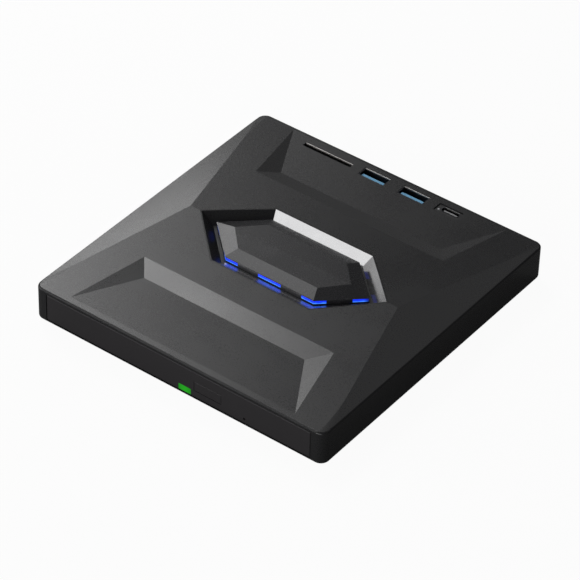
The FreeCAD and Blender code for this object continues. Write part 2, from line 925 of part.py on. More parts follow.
def build_emblem():
    surround_low = recess_floor - S.surround_floor
    block = shared(prism("z", hexagon_grown(0), (surround_low, sky)), outside)
    hole = prism("z", mask_outline(-S.fit_gap), (surround_low - 1, sky))
    node("emblem_surround", cut(block, recess_loft(), hole))

    rise = (S.cap_height + 0.1) / (S.cap_height - S.crown_drop)
    crest = hexagon(
        S.cap_tip - S.crown_tip_inset * (S.cap_height + 0.1) / S.cap_height,
        S.cap_corner_x - S.crown_corner_inset * rise,
        S.cap_corner_y - S.crown_edge_inset * rise,
    )
    base = hexagon(S.cap_tip, S.cap_corner_x, S.cap_corner_y)
    top = cap_base + S.cap_height
    eave_y = (S.cap_corner_y - S.crown_edge_inset) * 2
    crown = prism(
        "x",
        [
            (-eave_y, cap_base),
            (eave_y, cap_base),
            (eave_y, top - S.crown_drop * 2),
            (0, top),
            (-eave_y, top - S.crown_drop * 2),
        ],
        both(S.cap_tip + 1),
    )
    node("emblem_cap", shared(loft(base, cap_base, crest, top + 0.1), crown))

    mask_low = led_board_top
    plate = S.cap_lift - S.window_sill - S.window_height
    skirt = cut(
        prism("z", mask_outline(0), (mask_low, cap_base)),
        prism("z", mask_outline(S.mask_wall), (mask_low - 1, cap_base - plate)),
        *light_windows(0, 10),
    )
    node("light_mask", skirt)
    ring_top = cap_base - plate - S.touch_gap
    ring = prism("z", mask_outline(S.mask_wall + S.touch_gap), (mask_low + S.led_height + 0.1, ring_top))
    pads = shared(
        joined(*light_windows(S.touch_gap, 10)), prism("z", mask_outline(0.1), (mask_low, cap_base))
    )
    core = prism("z", mask_outline(S.mask_wall + S.guide_wall), (mask_low - 1, sky))
    node("light_guide", cut(joined(ring, pads), core))

    board_z = (led_board_low, led_board_top)
    board = prism("z", hexagon_grown(S.led_board_rim - S.surround_ledge), board_z)
    tabs = [rod("z", at, board_z, S.led_tab_radius) for at in led_screw_places]
    holes = [
        rod("z", at, (led_board_low - 1, led_board_top + 1), S.led_screw_hole) for at in led_screw_places
    ]
    node("led_board", cut(joined(board, *tabs), *holes))
    led_inset = S.mask_wall + S.guide_wall / 2 + S.mask_inset
    led_y = S.cap_corner_y - led_inset
    places = [(0, led_y), (0, -led_y)]
    places += four_places(S.cap_corner_x - S.led_corner_step, -led_y, led_y)
    places += [((S.cap_tip - led_inset * 1.4 - 0.4) * i, 0) for i in (-1, 1)]
    leds = [
        box(around(x, S.led_size), around(y, S.led_size / 2), (led_board_top, led_board_top + S.led_height))
        for x, y in places
    ]
    node("board_leds", group(*leds))


build_emblem()


# Hub board


def chip(x, y, width, depth, z):
    return round_box(around(x, width), around(y, depth), z, 0.3)


chip_front = port_y - usb_outer_depth / 2
light_at = (S.port_light_x, port_y - S.port_light_forward)
c_shell_y = port_y + S.c_shell_back


def build_hub():
    board = round_box(both(hub_half), (hub_front, hub_back), (hub_low, hub_top), 1.5)
    holes = [rod("z", at, (hub_low - 1, hub_top + 1), 1.0) for at in hub_screw_places]
    node("hub_board", cut(board, *holes))
    screws = [
        screw(
            at, hub_top, S.screw_head_height, S.hub_screw_length, S.hub_screw_radius, S.hub_screw_head,
            down=True,
        )
        for at in hub_screw_places
    ]
    screws += [screw(at, led_board_low, 0.6, 1.6, 0.6, 1.2) for at in led_screw_places]
    node("board_screws", group(*screws))
    chip_z = (hub_top, hub_top + S.chip_height)
    can_z = (hub_top, hub_top + S.can_height)
    chip_line = (hub_front + chip_front) / 2
    chips = [
        chip(S.hub_chip_x + S.hub_chip / 2, chip_line, S.hub_chip, S.hub_chip, chip_z),
        chip(S.light_chip_x + S.light_chip / 2, chip_line, S.light_chip, S.light_chip, chip_z),
        chip(S.clock_x + S.clock_width / 2, chip_line, S.clock_width, S.clock_depth, chip_z),
        rod("z", (S.large_can_x, chip_line), can_z, S.large_can_radius),
        rod("z", (S.small_can_x, chip_line), can_z, S.small_can_radius),
        box(around(S.port_light_x, 1.0), around(light_at[1], 0.9), (hub_top, hub_top + S.led_height)),
    ]
    node("hub_chips", group(*chips))

    shell_top = rear_floor - 0.1
    wall = S.usb_shell_wall
    for side, x in usb_places.items():
        outer = round_box(
            around(x, usb_outer_width), around(port_y, usb_outer_depth), (hub_top, shell_top), 0.5
        )
        floor = hub_top + 1.6
        inner = box(around(x, S.usb_inside_width), around(port_y, S.usb_inside_depth), (floor, sky))
        node(f"usb_shell_{side}", cut(outer, inner))
        tongue_y = port_y - S.usb_inside_depth / 2 + S.usb_tongue_offset
        node(
            f"usb_tongue_{side}",
            box(
                around(x, S.usb_tongue_width),
                (tongue_y, tongue_y + S.usb_tongue_depth),
                (floor, shell_top - S.usb_tongue_drop),
            ),
        )

    card_top = rear_ceiling - 0.1
    card_z = (hub_top, card_top)
    body = round_box(around(S.card_x, S.card_socket_width), around(port_y, S.card_socket_depth), card_z, 0.4)
    slot = box(around(S.card_x, S.card_slot_width), around(port_y, S.card_slot_depth), (hub_top + 1.2, sky))
    slot_front = port_y - S.card_slot_depth / 2
    contacts = [
        box(
            around(S.card_x + 2.5 * i, 1.0),
            (slot_front - 0.1, slot_front + 0.25),
            (hub_top + 1.0, hub_top + 5),
        )
        for i in range(-4, 5)
    ]
    node("card_socket", joined(cut(body, slot), *contacts))

    half_bar = (S.c_shell_width - S.c_shell_depth) / 2

    def stadium(grow, z):
        radius = S.c_shell_depth / 2 + grow
        return joined(
            box(around(S.c_shell_x, half_bar * 2), around(c_shell_y, radius * 2), z),
            rod("z", (S.c_shell_x - half_bar, c_shell_y), z, radius),
            rod("z", (S.c_shell_x + half_bar, c_shell_y), z, radius),
        )

    insert_top = rear_floor - 0.4
    insert = round_box(
        around(S.c_window_x, S.c_window_width),
        around(port_y, S.c_window_depth),
        (hub_top + 4, insert_top),
        0.5,
    )
    light_hole = rod("z", light_at, (hub_top, sky), S.port_light_radius + S.touch_gap)
    node("usb_c_insert", cut(insert, stadium(S.touch_gap, (hub_top, sky)), light_hole))
    shell = cut(
        stadium(0, (hub_top, insert_top + 0.1)), stadium(-S.c_shell_wall, (hub_top + 2, sky))
    )
    node("usb_c_shell", shell)
    node(
        "usb_c_tongue",
        box(
            around(S.c_shell_x, S.c_tongue_width),
            around(c_shell_y, S.c_tongue_depth),
            (hub_top + 2, insert_top - 0.6),
        ),
    )
    node("port_light", rod("z", light_at, (hub_top + S.led_height, insert_top + 0.1), S.port_light_radius))


build_hub()


# Slim drive chassis

base_top = drive_floor + S.base_sheet
lid_low = drive_top - S.lid_sheet
inner_wall = drive_half - S.base_sheet
connector_x = (S.connector_side - drive_half, S.connector_side + S.connector_width - drive_half)
drive_board_z = (base_top + 0.3, base_top + 0.3 + S.thin_board)


def build_chassis():
    y = (drive_front, drive_back)
    tub = cut(
        box(both(drive_half), y, (drive_floor, lid_low - S.touch_gap)),
        box(both(inner_wall), (drive_front - 1, drive_back - S.base_sheet), (base_top, sky)),
    )
    door = box(
        (connector_x[0] - 0.3, connector_x[1] + 0.3),
        (drive_back - 3, drive_back + 1),
        (drive_board_z[1] - 0.3, drive_board_z[1] + 4.4),
    )
    front = spindle[1] + S.drive_board_front
    right = S.drive_board_right - S.drive_boss_right
    boss_places = [
        (connector_x[0], front + S.drive_boss_step),
        (right, front + S.drive_boss_step),
        (right, drive_back - S.drive_board_inset - S.drive_boss_step),
    ]
    bosses = [rod("z", at, (base_top - 0.1, drive_board_z[0]), S.drive_boss_radius) for at in boss_places]
    node("drive_base", cut(joined(tub, *bosses), door))

    top = box(both(drive_half + S.lid_sheet + S.touch_gap), y, (lid_low, drive_top))
    inner = drive_half + S.touch_gap
    skirts = [
        box(mirrored(side, inner, inner + S.lid_sheet), y, (drive_top - S.lid_flange, drive_top))
        for side in (-1, 1)
    ]
    pressed_radius = S.well_radius - S.lid_press_inset
    pressed = rod("z", spindle, (drive_top - S.lid_press, drive_top + 1), pressed_radius)
    boss = rod("z", spindle, (drive_top - S.lid_press - 0.05, drive_top), S.lid_boss_radius)
    node("drive_lid", joined(cut(joined(top, *skirts), pressed), boss))

    left = S.drive_board_side - drive_half
    node(
        "drive_board",
        box((left, S.drive_board_right), (front, drive_back - S.drive_board_inset), drive_board_z),
    )
    chip_low = drive_board_z[1]
    large_x = (left + S.large_chip_side, left + S.large_chip_side + S.large_chip)
    large_y = (front + S.large_chip_step, front + S.large_chip_step + S.large_chip)
    motor_x = (left + S.motor_chip_side, left + S.motor_chip_side + S.motor_chip_width)
    motor_y = (front + S.motor_chip_step, front + S.motor_chip_step + S.motor_chip_depth)
    memory_x = (right - S.memory_chip_width, right)
    memory_y = (front + S.memory_chip_step, front + S.memory_chip_step + S.memory_chip_depth)
    flex_end = front + S.flex_socket_step + S.flex_socket_depth
    socket_y = (front + S.flex_socket_step, flex_end)
    chips = [
        round_box(large_x, large_y, (chip_low, chip_low + S.large_chip_height), 0.4),
        round_box(motor_x, motor_y, (chip_low, chip_low + S.chip_height), 0.3),
        round_box(memory_x, memory_y, (chip_low, chip_low + S.chip_height), 0.3),
        round_box(both(S.flex_socket_half), socket_y, (chip_low, chip_low + S.flex_socket_height), 0.3),
    ]
    node("drive_chips", group(*chips))
    connector_back = drive_back + S.base_sheet
    body = box(
        connector_x,
        (connector_back - S.connector_depth, connector_back),
        (chip_low, chip_low + S.connector_height),
    )
    mouth = box(
        (connector_x[0] + S.connector_wall, connector_x[1] - S.connector_wall),
        (connector_back - S.connector_depth + 1.1, connector_back + 0.4),
        (chip_low + 0.7, chip_low + S.connector_height - 0.7),
    )
    node("drive_connector", cut(body, mouth))
    plug_y = connector_back + S.touch_gap
    plug = joined(
        box(connector_x, (plug_y, hub_front + 4), (hub_top, hub_top + S.can_height)),
        box(
            (connector_x[0] + S.plug_side, connector_x[1] - S.plug_side),
            (connector_back - S.plug_reach, plug_y + 0.5),
            around(chip_low + S.connector_height / 2, S.plug_height),
        ),
    )
    node("hub_plug", plug)

    flex_low = chip_low + S.flex_socket_height - 0.5
    bend = S.flex_bend
    bend_y = drive_back - S.flex_bend_inset
    wide = both(S.flex_half)
    half_ring = shared(
        cut(
            rod("x", (bend_y, flex_low + bend), wide, bend),
            rod("x", (bend_y, flex_low + bend), both(S.flex_half + 1), bend - S.flex_sheet),
        ),
        box(both(S.flex_half + 1), (bend_y, bend_y + 2), (flex_low - 1, flex_low + 4)),
    )
    lower = box(wide, (flex_end, bend_y), (flex_low, flex_low + S.flex_sheet))
    upper_z = (flex_low + bend * 2 - S.flex_sheet, flex_low + bend * 2)
    upper = box(wide, (front + S.drive_boss_step, bend_y), upper_z)
    node("flex_cable", joined(half_ring, lower, upper))
    flange = S.latch_post_radius + S.latch_post_flange
    foot = rod("z", latch_post, (base_top, base_top + S.latch_post_foot), flange)
    post = rod("z", latch_post, (base_top, drive_floor + S.latch_post_height), S.latch_post_radius)
    node("latch_post", joined(post, foot))


latch_post = (drive_half - S.latch_post_side, drive_back - S.latch_post_inset)
latch_pivot = (latch_post[0] - S.latch_reach_x, latch_post[1] - S.latch_reach_y)

build_chassis()


# Slide rails, each between a fixed guide on the chassis and the tray's tongue

guide_low = drive_floor + S.guide_low
guide_high = guide_low + S.guide_height
rail_low = guide_low + S.guide_sheet + S.rail_gap
rail_high = guide_high - S.guide_sheet - S.rail_gap
rail_outer = inner_wall - S.guide_sheet - S.rail_gap
rail_inner = rail_outer - S.rail_reach
rail_middle = (rail_low + rail_high) / 2


def build_rails():
    for name, side in (("left", -1), ("right", 1)):
        guide_y = (drive_front + 1, drive_back - 1.5)
        lip = inner_wall - S.guide_depth
        guide = cut(
            box(mirrored(side, lip, inner_wall), guide_y, (guide_low, guide_high)),
            box(
                mirrored(side, lip + S.guide_sheet, inner_wall - S.guide_sheet),
                (guide_y[0] - 1, guide_y[1] + 1),
                (guide_low + S.guide_sheet, guide_high - S.guide_sheet),
            ),
            box(
                mirrored(side, lip - 1, inner_wall - S.guide_sheet),
                (guide_y[0] - 1, guide_y[1] + 1),
                (guide_low + S.guide_sheet + S.guide_return, guide_high - S.guide_sheet - S.guide_return),
            ),
        )
        node(f"rail_guide_{name}", guide)
        rail_y = (drive_front + S.rail_front_inset, drive_back - S.rail_back_inset)
        flange = box(mirrored(side, rail_outer - S.rail_flange, rail_outer), rail_y, (rail_low, rail_high))
        neck_low = guide_low + S.guide_sheet + S.guide_return + S.rail_gap
        neck_high = guide_high - S.guide_sheet - S.guide_return - S.rail_gap
        neck = box(mirrored(side, rail_inner, rail_outer - 0.2), rail_y, (neck_low, neck_high))
        groove = box(
            mirrored(side, rail_inner - 1, rail_outer - S.rail_flange - S.rail_neck_step),
            (rail_y[0] - 1, rail_y[1] + 1),
            (rail_middle - S.tongue_height / 2 - S.rail_gap, rail_middle + S.tongue_height / 2 + S.rail_gap),
        )
        node(f"rail_{name}", cut(joined(flange, neck), groove))


build_rails()


# Tray

tray_low = drive_floor + S.tray_skirt_height
rim_top = drive_floor + S.tray_rim_height
well_floor = drive_floor + S.well_floor_height
floor_low = well_floor - S.tray_floor
front_wall_back = tray_front + S.tray_front_wall
tray_board_z = (tray_low + S.panel_gap, tray_low + S.panel_gap + S.thin_board)
tray_board_x = (S.tray_board_left, S.tray_board_right)
tray_board_y = (front_wall_back + 0.1, front_wall_back + 0.1 + S.tray_board_depth)
button_x = (S.button_left + S.button_right) / 2
stem_z = (S.button_low - 0.3, floor_low - 0.1)
light_x = (S.light_left + S.light_right) / 2
ejector_x = S.ejector_side - tray_half
ejector_z = (floor_low + rim_top) / 2

frame_low = base_top + S.frame_lift
frame_top = frame_low + S.frame_sheet
rod_height = frame_top + S.rod_lift
window_v = S.traverse_half
lead_screw_end = S.well_radius - S.lead_screw_short
frame_outer = S.well_radius + S.frame_beyond
traverse_outer = S.well_radius + S.traverse_beyond
bay_u = (S.sled_motor_start - 2, lead_screw_end + 0.6)
bay_v = (-S.screw_v - 3.2, -window_v + 1)
frame_v = (-S.screw_v - 3, window_v + S.frame_margin)
block_u = ((S.traverse_inner + 0.2, S.traverse_inner + 2.2), (frame_outer - 2.4, frame_outer - 0.6))
tray_post_y = front_wall_back + S.tray_post_step
tray_post_places = [
    (S.tray_board_left + S.tray_post_left, tray_post_y),
    (S.tray_board_right - S.tray_post_right, tray_post_y),
]
frame_post_v = window_v + 2
frame_post_places = [(-17, -14), (-12, frame_post_v), (lead_screw_end - 2, frame_post_v)]


def on_traverse(*solids):
    """Turn pieces laid out along X from the spindle onto the line of the pickup."""
    whole = group(*solids)
    whole.Placement = Placement(Vector(), Rotation(Vector(0, 0, 1), float(S.traverse_angle)))
    bind(whole, "Placement.Base.x", spindle[0])
    bind(whole, "Placement.Base.y", spindle[1])
    return whole


def build_tray():
    half = tray_half
    below_floor = (tray_low, floor_low + 0.1)
    pieces = [
        box(both(half), (tray_front, tray_back), (floor_low, rim_top)),
        box(both(half + S.tray_wing), (tray_front, tray_back), (rim_top - S.tray_wing_drop, rim_top)),
        box(both(half), (tray_front, front_wall_back), below_floor),
    ]
    tongue_reach = rail_outer - S.rail_flange - S.rail_neck_step - S.rail_gap
    for side in (-1, 1):
        arm_y = (tray_front, tray_back + S.tray_arm)
        pieces.append(box(mirrored(side, half - S.tray_skirt, half), arm_y, below_floor))
        tongue_x = mirrored(side, half - 0.1, tongue_reach)
        pieces.append(box(tongue_x, arm_y, around(rail_middle, S.tongue_height)))
    pieces += [
        rod("z", at, (tray_board_z[1], below_floor[1]), S.tray_post_radius) for at in tray_post_places
    ]
    pieces.append(on_traverse(*[rod("z", at, (frame_top, below_floor[1]), 1.3) for at in frame_post_places]))
    pieces.append(rod("z", latch_pivot, below_floor, S.pin_radius))

    below = floor_low - 1
    window = prism(
        "z",
        [
            (-S.traverse_inner, -window_v),
            (frame_outer - 0.2, -window_v),
            (traverse_outer, -window_v + 4.6),
            (traverse_outer, window_v - 4.6),
            (frame_outer - 0.2, window_v),
            (-S.traverse_inner, window_v),
        ],
        (below, well_floor + 0.8),
    )
    bay = box(bay_u, bay_v, (below, well_floor + 0.5))
    wall_y = (tray_front - 1, front_wall_back + 1)
    ways = [
        box(around(button_x, S.button_stem + 1), wall_y, (stem_z[0] - 0.4, stem_z[1] + 0.4)),
        box(around(light_x, 3), wall_y, (tray_low - 1, S.light_high)),
        rod("y", (S.rescue_hole_x, S.rescue_hole_z), wall_y, S.rescue_hole_radius + 0.3),
        rod(
            "y",
            (ejector_x, ejector_z),
            (tray_back - S.ejector_length, tray_back + 1),
            S.ejector_radius + S.fit_gap,
        ),
    ]
    wells = [
        rod("z", spindle, (well_floor, sky), S.well_radius),
        rod("z", spindle, (well_floor - S.small_well_depth, sky), S.small_well_radius),
        *[rod("z", at, (well_floor - S.small_well_depth, sky), S.finger_radius) for at in finger_places],
    ]
    return cut(joined(*pieces), *wells, on_traverse(joined(window, bay)), *ways)


finger_reach = S.well_radius - S.finger_inset
finger_places = four_places(tray_half + S.finger_side, spindle[1] - finger_reach, spindle[1] + finger_reach)


def front_edge(y):
    """Test for an edge that lies in the plane across Y at y."""
    return lambda edge: max(abs(edge.BoundBox.YMin - float(y)), abs(edge.BoundBox.YMax - float(y))) < 1e-3


def build_bezel():
    back_of_face = bezel_front + S.bezel_wall
    z = (drive_floor, drive_floor + S.bezel_height)
    block = box(both(bezel_half), (bezel_front, tray_front), z)
    hollow = box(
        both(bezel_half - S.bezel_rim),
        (back_of_face, tray_front + 1),
        (z[0] + S.bezel_rim, z[1] - S.bezel_rim),
    )
    shell = cut(rounded(block, S.bezel_round, front_edge(bezel_front)), hollow)
    ribs = [
        box(around(x, 1.0), (back_of_face - 0.1, tray_front), (z[0] + 0.5, z[1] - 0.5))
        for x in (-50, -30, -12, 28, 52)
    ]
    through = (bezel_front - 1, tray_front + 1)
    gap = S.button_gap
    button_way = round_box(
        (S.button_left - gap, S.button_right + gap),
        (through[0], back_of_face + 0.1),
        (S.button_low - gap, S.button_high + gap),
        0.2,
        lengthwise,
    )
    light_way = box((S.light_left, S.light_right), through, (S.light_low, S.light_high))
    rescue = rod("y", (S.rescue_hole_x, S.rescue_hole_z), through, S.rescue_hole_radius)
    node("tray_bezel", cut(joined(shell, *ribs), button_way, light_way, rescue))


def build_button():
    back_of_face = bezel_front + S.bezel_wall
    x, z = (S.button_left, S.button_right), (S.button_low, S.button_high)
    face = rounded(box(x, (bezel_front, back_of_face), z), 0.25, front_edge(bezel_front))
    flange_y = (back_of_face + 0.1, back_of_face + 0.9)
    flange = box((x[0] - 0.5, x[1] + 0.5), flange_y, (z[0] - 0.5, z[1] + 0.5))
    neck = box(x, (back_of_face - 0.2, flange_y[1]), z)
    stem = box(around(button_x, S.button_stem), (flange_y[1] - 0.1, front_wall_back - 0.1), stem_z)
    node("eject_button", joined(face, neck, flange, stem))


def build_tray_front():
    """The board behind the bezel, with the button's switch and the light's pipe."""
    board_low, board_top = tray_board_z
    lamp_y = (front_wall_back + 0.4, front_wall_back + 1.4)
    board = round_box(tray_board_x, tray_board_y, tray_board_z, 1)
    node("tray_board", joined(board, box(around(light_x, 1.6), lamp_y, (board_top, board_top + 0.7))))
    switch_front = front_wall_back + S.button_travel
    body = box(around(button_x, 4.5), (switch_front + 0.4, switch_front + 3.4), (board_top, floor_low))
    nub = box(around(button_x, 1.6), (switch_front, switch_front + 0.5), stem_z)
    node("eject_switch", joined(body, nub))
    back_of_face = bezel_front + S.bezel_wall
    lens = box(
        (S.light_left, S.light_right), (bezel_front, back_of_face + 0.4), (S.light_low, S.light_high)
    )
    pipe_z = (board_top + 0.1, S.light_high - 0.2)
    pipe = box(around(light_x, 2.0), (bezel_front + 1, front_wall_back + 0.3), pipe_z)
    node("activity_light", joined(lens, pipe))


def build_tray_shield():
    """The thin cover over the traverse, with a slot for the lens and a hole for the turntable."""
    level = (well_floor, well_floor + S.shield_sheet)
    through = (level[0] - 1, level[1] + 1)
    strip = box((-S.frame_inner, S.well_radius), both(window_v + 1.2), level)
    motor_cover = box((bay_u[0] - 1.5, bay_u[1] + 1), (bay_v[0] - 1.2, 0), level)
    inside_well = rod("z", (0, 0), through, S.well_radius - 0.2)
    slot = box((0, S.well_radius + 5), both(S.shield_slot_half), through)
    eye = rod("z", (0, 0), through, S.turntable_radius + 0.8)
    node("tray_shield", on_traverse(cut(shared(joined(strip, motor_cover), inside_well), slot, eye)))


def build_traverse_frame():
    low_u, high_u = -S.frame_inner, frame_outer
    plate = prism(
        "z",
        [
            (low_u, -S.frame_end_half),
            (bay_u[0], frame_v[0]),
            (lead_screw_end, frame_v[0]),
            (high_u, -S.frame_end_half),
            (high_u, S.frame_end_half),
            (lead_screw_end + 4, frame_v[1]),
            (low_u, frame_v[1]),
        ],
        (frame_low, frame_top),
    )
    through = (frame_low - 1, frame_top + 1)
    window = box((S.traverse_inner + 0.6, high_u - 2.6), both(S.rod_v - 2.2), through)
    motor_seat = rod("z", (0, 0), through, S.bearing_radius)
    block_z = (frame_top - 0.1, rod_height + 1.5)
    blocks = [box(end, around(side * S.rod_v, 4), block_z) for end in block_u for side in (-1, 1)]
    screw_end = box((lead_screw_end - 2, lead_screw_end), around(-S.screw_v, 2.2), block_z)
    ways = [
        rod("x", (side * S.rod_v, rod_height), (S.traverse_inner, high_u), S.rod_radius)
        for side in (-1, 1)
    ]
    cradle = rod("x", (-S.screw_v, rod_height), sled_motor_u, S.sled_motor_radius)
    pivot = rod("x", (-S.screw_v, rod_height), (lead_screw_end - 3, lead_screw_end + 1), pivot_bore)
    frame = cut(joined(plate, *blocks, screw_end), window, motor_seat, cradle, pivot, *ways)
    node("traverse_frame", on_traverse(frame))
    rods = [
        rod("x", (side * S.rod_v, rod_height), (block_u[0][0], block_u[1][1]), S.rod_radius)
        for side in (-1, 1)
    ]
    node("guide_rods", on_traverse(*rods))


sled_motor_u = (S.sled_motor_start, S.sled_motor_start + S.sled_motor_length)
pivot_radius = 0.6
pivot_bore = S.shaft_gap + pivot_radius


def build_sled_drive():
    centre = (-S.screw_v, rod_height)
    can = rod("x", centre, sled_motor_u, S.sled_motor_radius)
    shaft_way = rod("x", centre, (sled_motor_u[1] - 3, sled_motor_u[1] + 1), pivot_bore)
    node("sled_motor", on_traverse(cut(can, shaft_way)))
    body = rod("x", centre, (sled_motor_u[1] + 0.4, lead_screw_end - 2.3), S.lead_screw_radius)
    pivots = rod("x", centre, (sled_motor_u[1] - 2.6, lead_screw_end - 0.3), pivot_radius)
    node("lead_screw", on_traverse(joined(body, pivots)))


# Spindle

seat = drive_floor + S.disc_seat_height
flange_low = seat - 0.7
ball_angles = (90, 210, 330)


def build_spindle():
    base = joined(
        rod("z", spindle, (frame_top, frame_top + 0.5), S.motor_radius),
        rod("z", spindle, (frame_low, seat - 2.2), S.bearing_radius),
        rod("z", spindle, (frame_top + 0.4, seat - 2.6), S.stator_radius),
        *[stator_pole(30 * i) for i in range(6)],
    )
    bearing = rod("z", spindle, (frame_low + 0.4, seat), S.shaft_radius + S.shaft_gap)
    node("spindle_motor", cut(base, bearing))
    cup = cut(
        rod("z", spindle, (frame_top + 0.8, flange_low), S.motor_radius - 0.2),
        rod("z", spindle, (frame_top, seat - 1.3), S.motor_radius - 0.9),
    )
    node("spindle_rotor", joined(cup, rod("z", spindle, (frame_low + 0.6, seat), S.shaft_radius)))

    ring_inner = S.turntable_radius - 2.4
    pad_level = seat - 0.35
    flange = rod("z", spindle, (flange_low, seat - 0.05), S.turntable_radius)
    pad_bed = cut(
        rod("z", spindle, (pad_level, seat + 1), S.turntable_radius + 1),
        rod("z", spindle, (flange_low, seat + 2), ring_inner),
    )
    hub_top = seat + S.hub_height
    hub = joined(
        rod("z", spindle, (pad_level, hub_top - 0.6), S.hub_radius),
        cone(spindle, (hub_top - 0.6, hub_top), S.hub_radius, S.hub_radius - 1.0),
    )
    dish = rod("z", spindle, (seat + 0.4, sky), 3.2)
    bore = rod("z", spindle, (flange_low - 1, seat), S.shaft_radius)
    pockets = [ball_pocket(angle) for angle in ball_angles]
    node("turntable", cut(joined(cut(flange, pad_bed), hub), dish, bore, *pockets))
    node(
        "turntable_pad",
        cut(
            rod("z", spindle, (pad_level, seat), S.turntable_radius - 0.1),
            rod("z", spindle, (pad_level - 1, seat + 1), ring_inner),
        ),
    )
    node("clamp_balls", group(*[clamp_ball(angle) for angle in ball_angles]))


def stator_pole(angle):
    """One bar across the stator, which makes two of its poles."""
    reach = S.motor_radius - 1.4
    bar = prism(
        "z",
        [(-reach, -S.pole_half), (reach, -S.pole_half), (reach, S.pole_half), (-reach, S.pole_half)],
        (frame_top + 0.9, frame_top + 2.0),
    )
    bar.Placement = Placement(Vector(), Rotation(Vector(0, 0, 1), angle))
    bind(bar, "Placement.Base.y", spindle[1])
    return bar


def ball_centre(angle):
    turn = math.radians(angle)
    reach = S.hub_radius - 0.5
    return reach * math.cos(turn), spindle[1] + reach * math.sin(turn), seat + S.hub_height / 2


def clamp_ball(angle):
    """A ball in the hub's side that holds a disc."""
    ball = doc.addObject("Part::Sphere", "ball")
    bind(ball, "Radius", S.ball_radius)
    return place(ball, *ball_centre(angle))


def ball_pocket(angle):
    x, y, z = ball_centre(angle)
    reach = S.ball_radius + S.ball_gap
    return rod("z", (x, y), (z - reach, z + reach), reach)


# Pickup


def build_pickup():
    middle = S.park_radius
    u = (middle - S.sled_half, middle + S.sled_half)
    low = frame_top + 0.2
    top = low + S.sled_height
    half = S.rod_v - 2.6
    body = cut(
        box(u, both(half), (low, top)), rod("z", (0, 0), (low - 1, sky), S.turntable_radius + 2.0)
    )
    ears = [
        box(
            (middle - 5, middle + 4.5),
            mirrored(side, half - 0.1, S.rod_v + 1.8),
            (rod_height - 1.6, rod_height + 1.6),
        )
        for side in (-1, 1)
    ]
    rack_v = (-S.screw_v + S.lead_screw_radius + 0.15, -S.rod_v - 1.7)
    rack = box((middle - 4, middle + 4), rack_v, around(rod_height, 1.6))
    bore = S.rod_radius + 0.04
    ways = [rod("x", (side * S.rod_v, rod_height), (0, 90), bore) for side in (-1, 1)]
    fork_way = box((0, 90), (S.rod_v, S.rod_v + 4), around(rod_height, bore * 2))
    lens_well = round_box(around(middle, 9), both(7), (top - 1.6, sky), 1)
    diode_u = (middle + 5.5, u[1] + 0.4)
    diode_v = (-5, 3)
    diode_way = box((diode_u[0], u[1] + 1), diode_v, (low + 0.8, sky))
    body = cut(joined(body, *ears, rack), *ways, fork_way, lens_well, diode_way)
    node("pickup_body", on_traverse(body))
    node("laser_module", on_traverse(box(diode_u, diode_v, (low + 0.8, top - 0.3))))

    holder_z = (top - 1.6, top + 0.35)
    holder = cut(
        round_box(around(middle, 7), both(4.2), holder_z, 0.8),
        rod("z", (middle, 0), (holder_z[0] - 1, sky), S.lens_radius),
    )
    node("lens_holder", on_traverse(holder))
    lens = joined(
        rod("z", (middle, 0), (holder_z[0], holder_z[1] - 0.3), S.lens_radius),
        cone((middle, 0), (holder_z[1] - 0.3, holder_z[1]), S.lens_radius, S.lens_radius - 0.9),
    )
    node("objective_lens", on_traverse(lens))
    magnet_v = (S.magnet_inner, S.magnet_inner + S.magnet_depth)
    magnets = [
        box(around(middle, S.magnet_length), mirrored(side, *magnet_v), (top - S.magnet_depth, top))
        for side in (-1, 1)
    ]
    node("lens_magnets", on_traverse(*magnets))


# Latch and ejector


def build_latch():
    pivot = latch_pivot
    post = (S.latch_reach_x, S.latch_reach_y)
    behind = post[1] + S.latch_post_radius + 0.2
    inboard = post[0] - S.latch_post_radius - 0.7
    low = tray_low + 0.5
    level = (low, low + S.latch_plate)
    arm = prism(
        "z",
        [
            (-1.9, 0),
            (1.9, 0),
            (inboard, behind - 4),
            (inboard, behind),
            (post[0] + 1.5, behind),
            (post[0] + 0.6, behind + 1.8),
            (inboard - 2.4, behind + 1.8),
            (inboard - 2.6, behind - 3),
        ],
        level,
    )
    hub = rod("z", (0, 0), (low, floor_low - 0.1), S.latch_hub_radius)
    armature = box(
        (-S.armature_side, S.armature_overlap),
        around(S.latch_reach_y * 0.6, S.armature_length),
        (low, low + S.latch_plate * 2),
    )
    lever = cut(joined(arm, hub, armature), rod("z", (0, 0), (low - 1, sky), S.pin_radius + 0.05))
    lever = group(lever)
    lever.Placement = Placement(Vector(), Rotation(Vector(0, 0, 1), float(S.latch_angle)))
    node("latch_lever", place(lever, pivot[0], pivot[1], 0))

    coil_x = (pivot[0] - S.coil_far, pivot[0] - S.coil_near)
    coil_y = around(pivot[1] + S.latch_reach_y / 2, S.coil_length)
    wall = S.yoke_wall
    z = (tray_low + 0.2, floor_low)
    yoke = cut(
        box(coil_x, coil_y, z),
        box(
            (coil_x[0] + wall * 2, coil_x[1] - wall * 2),
            (coil_y[0] - 1, coil_y[1] + 1),
            (z[0] + wall, z[1] - wall),
        ),
    )
    node("latch_yoke", yoke)
    coil = box(
        (coil_x[0] + wall * 2, coil_x[1] - wall * 2),
        (coil_y[0] + 0.4, coil_y[1] - 0.4),
        (z[0] + wall, z[1] - wall),
    )
    node("latch_coil", coil)


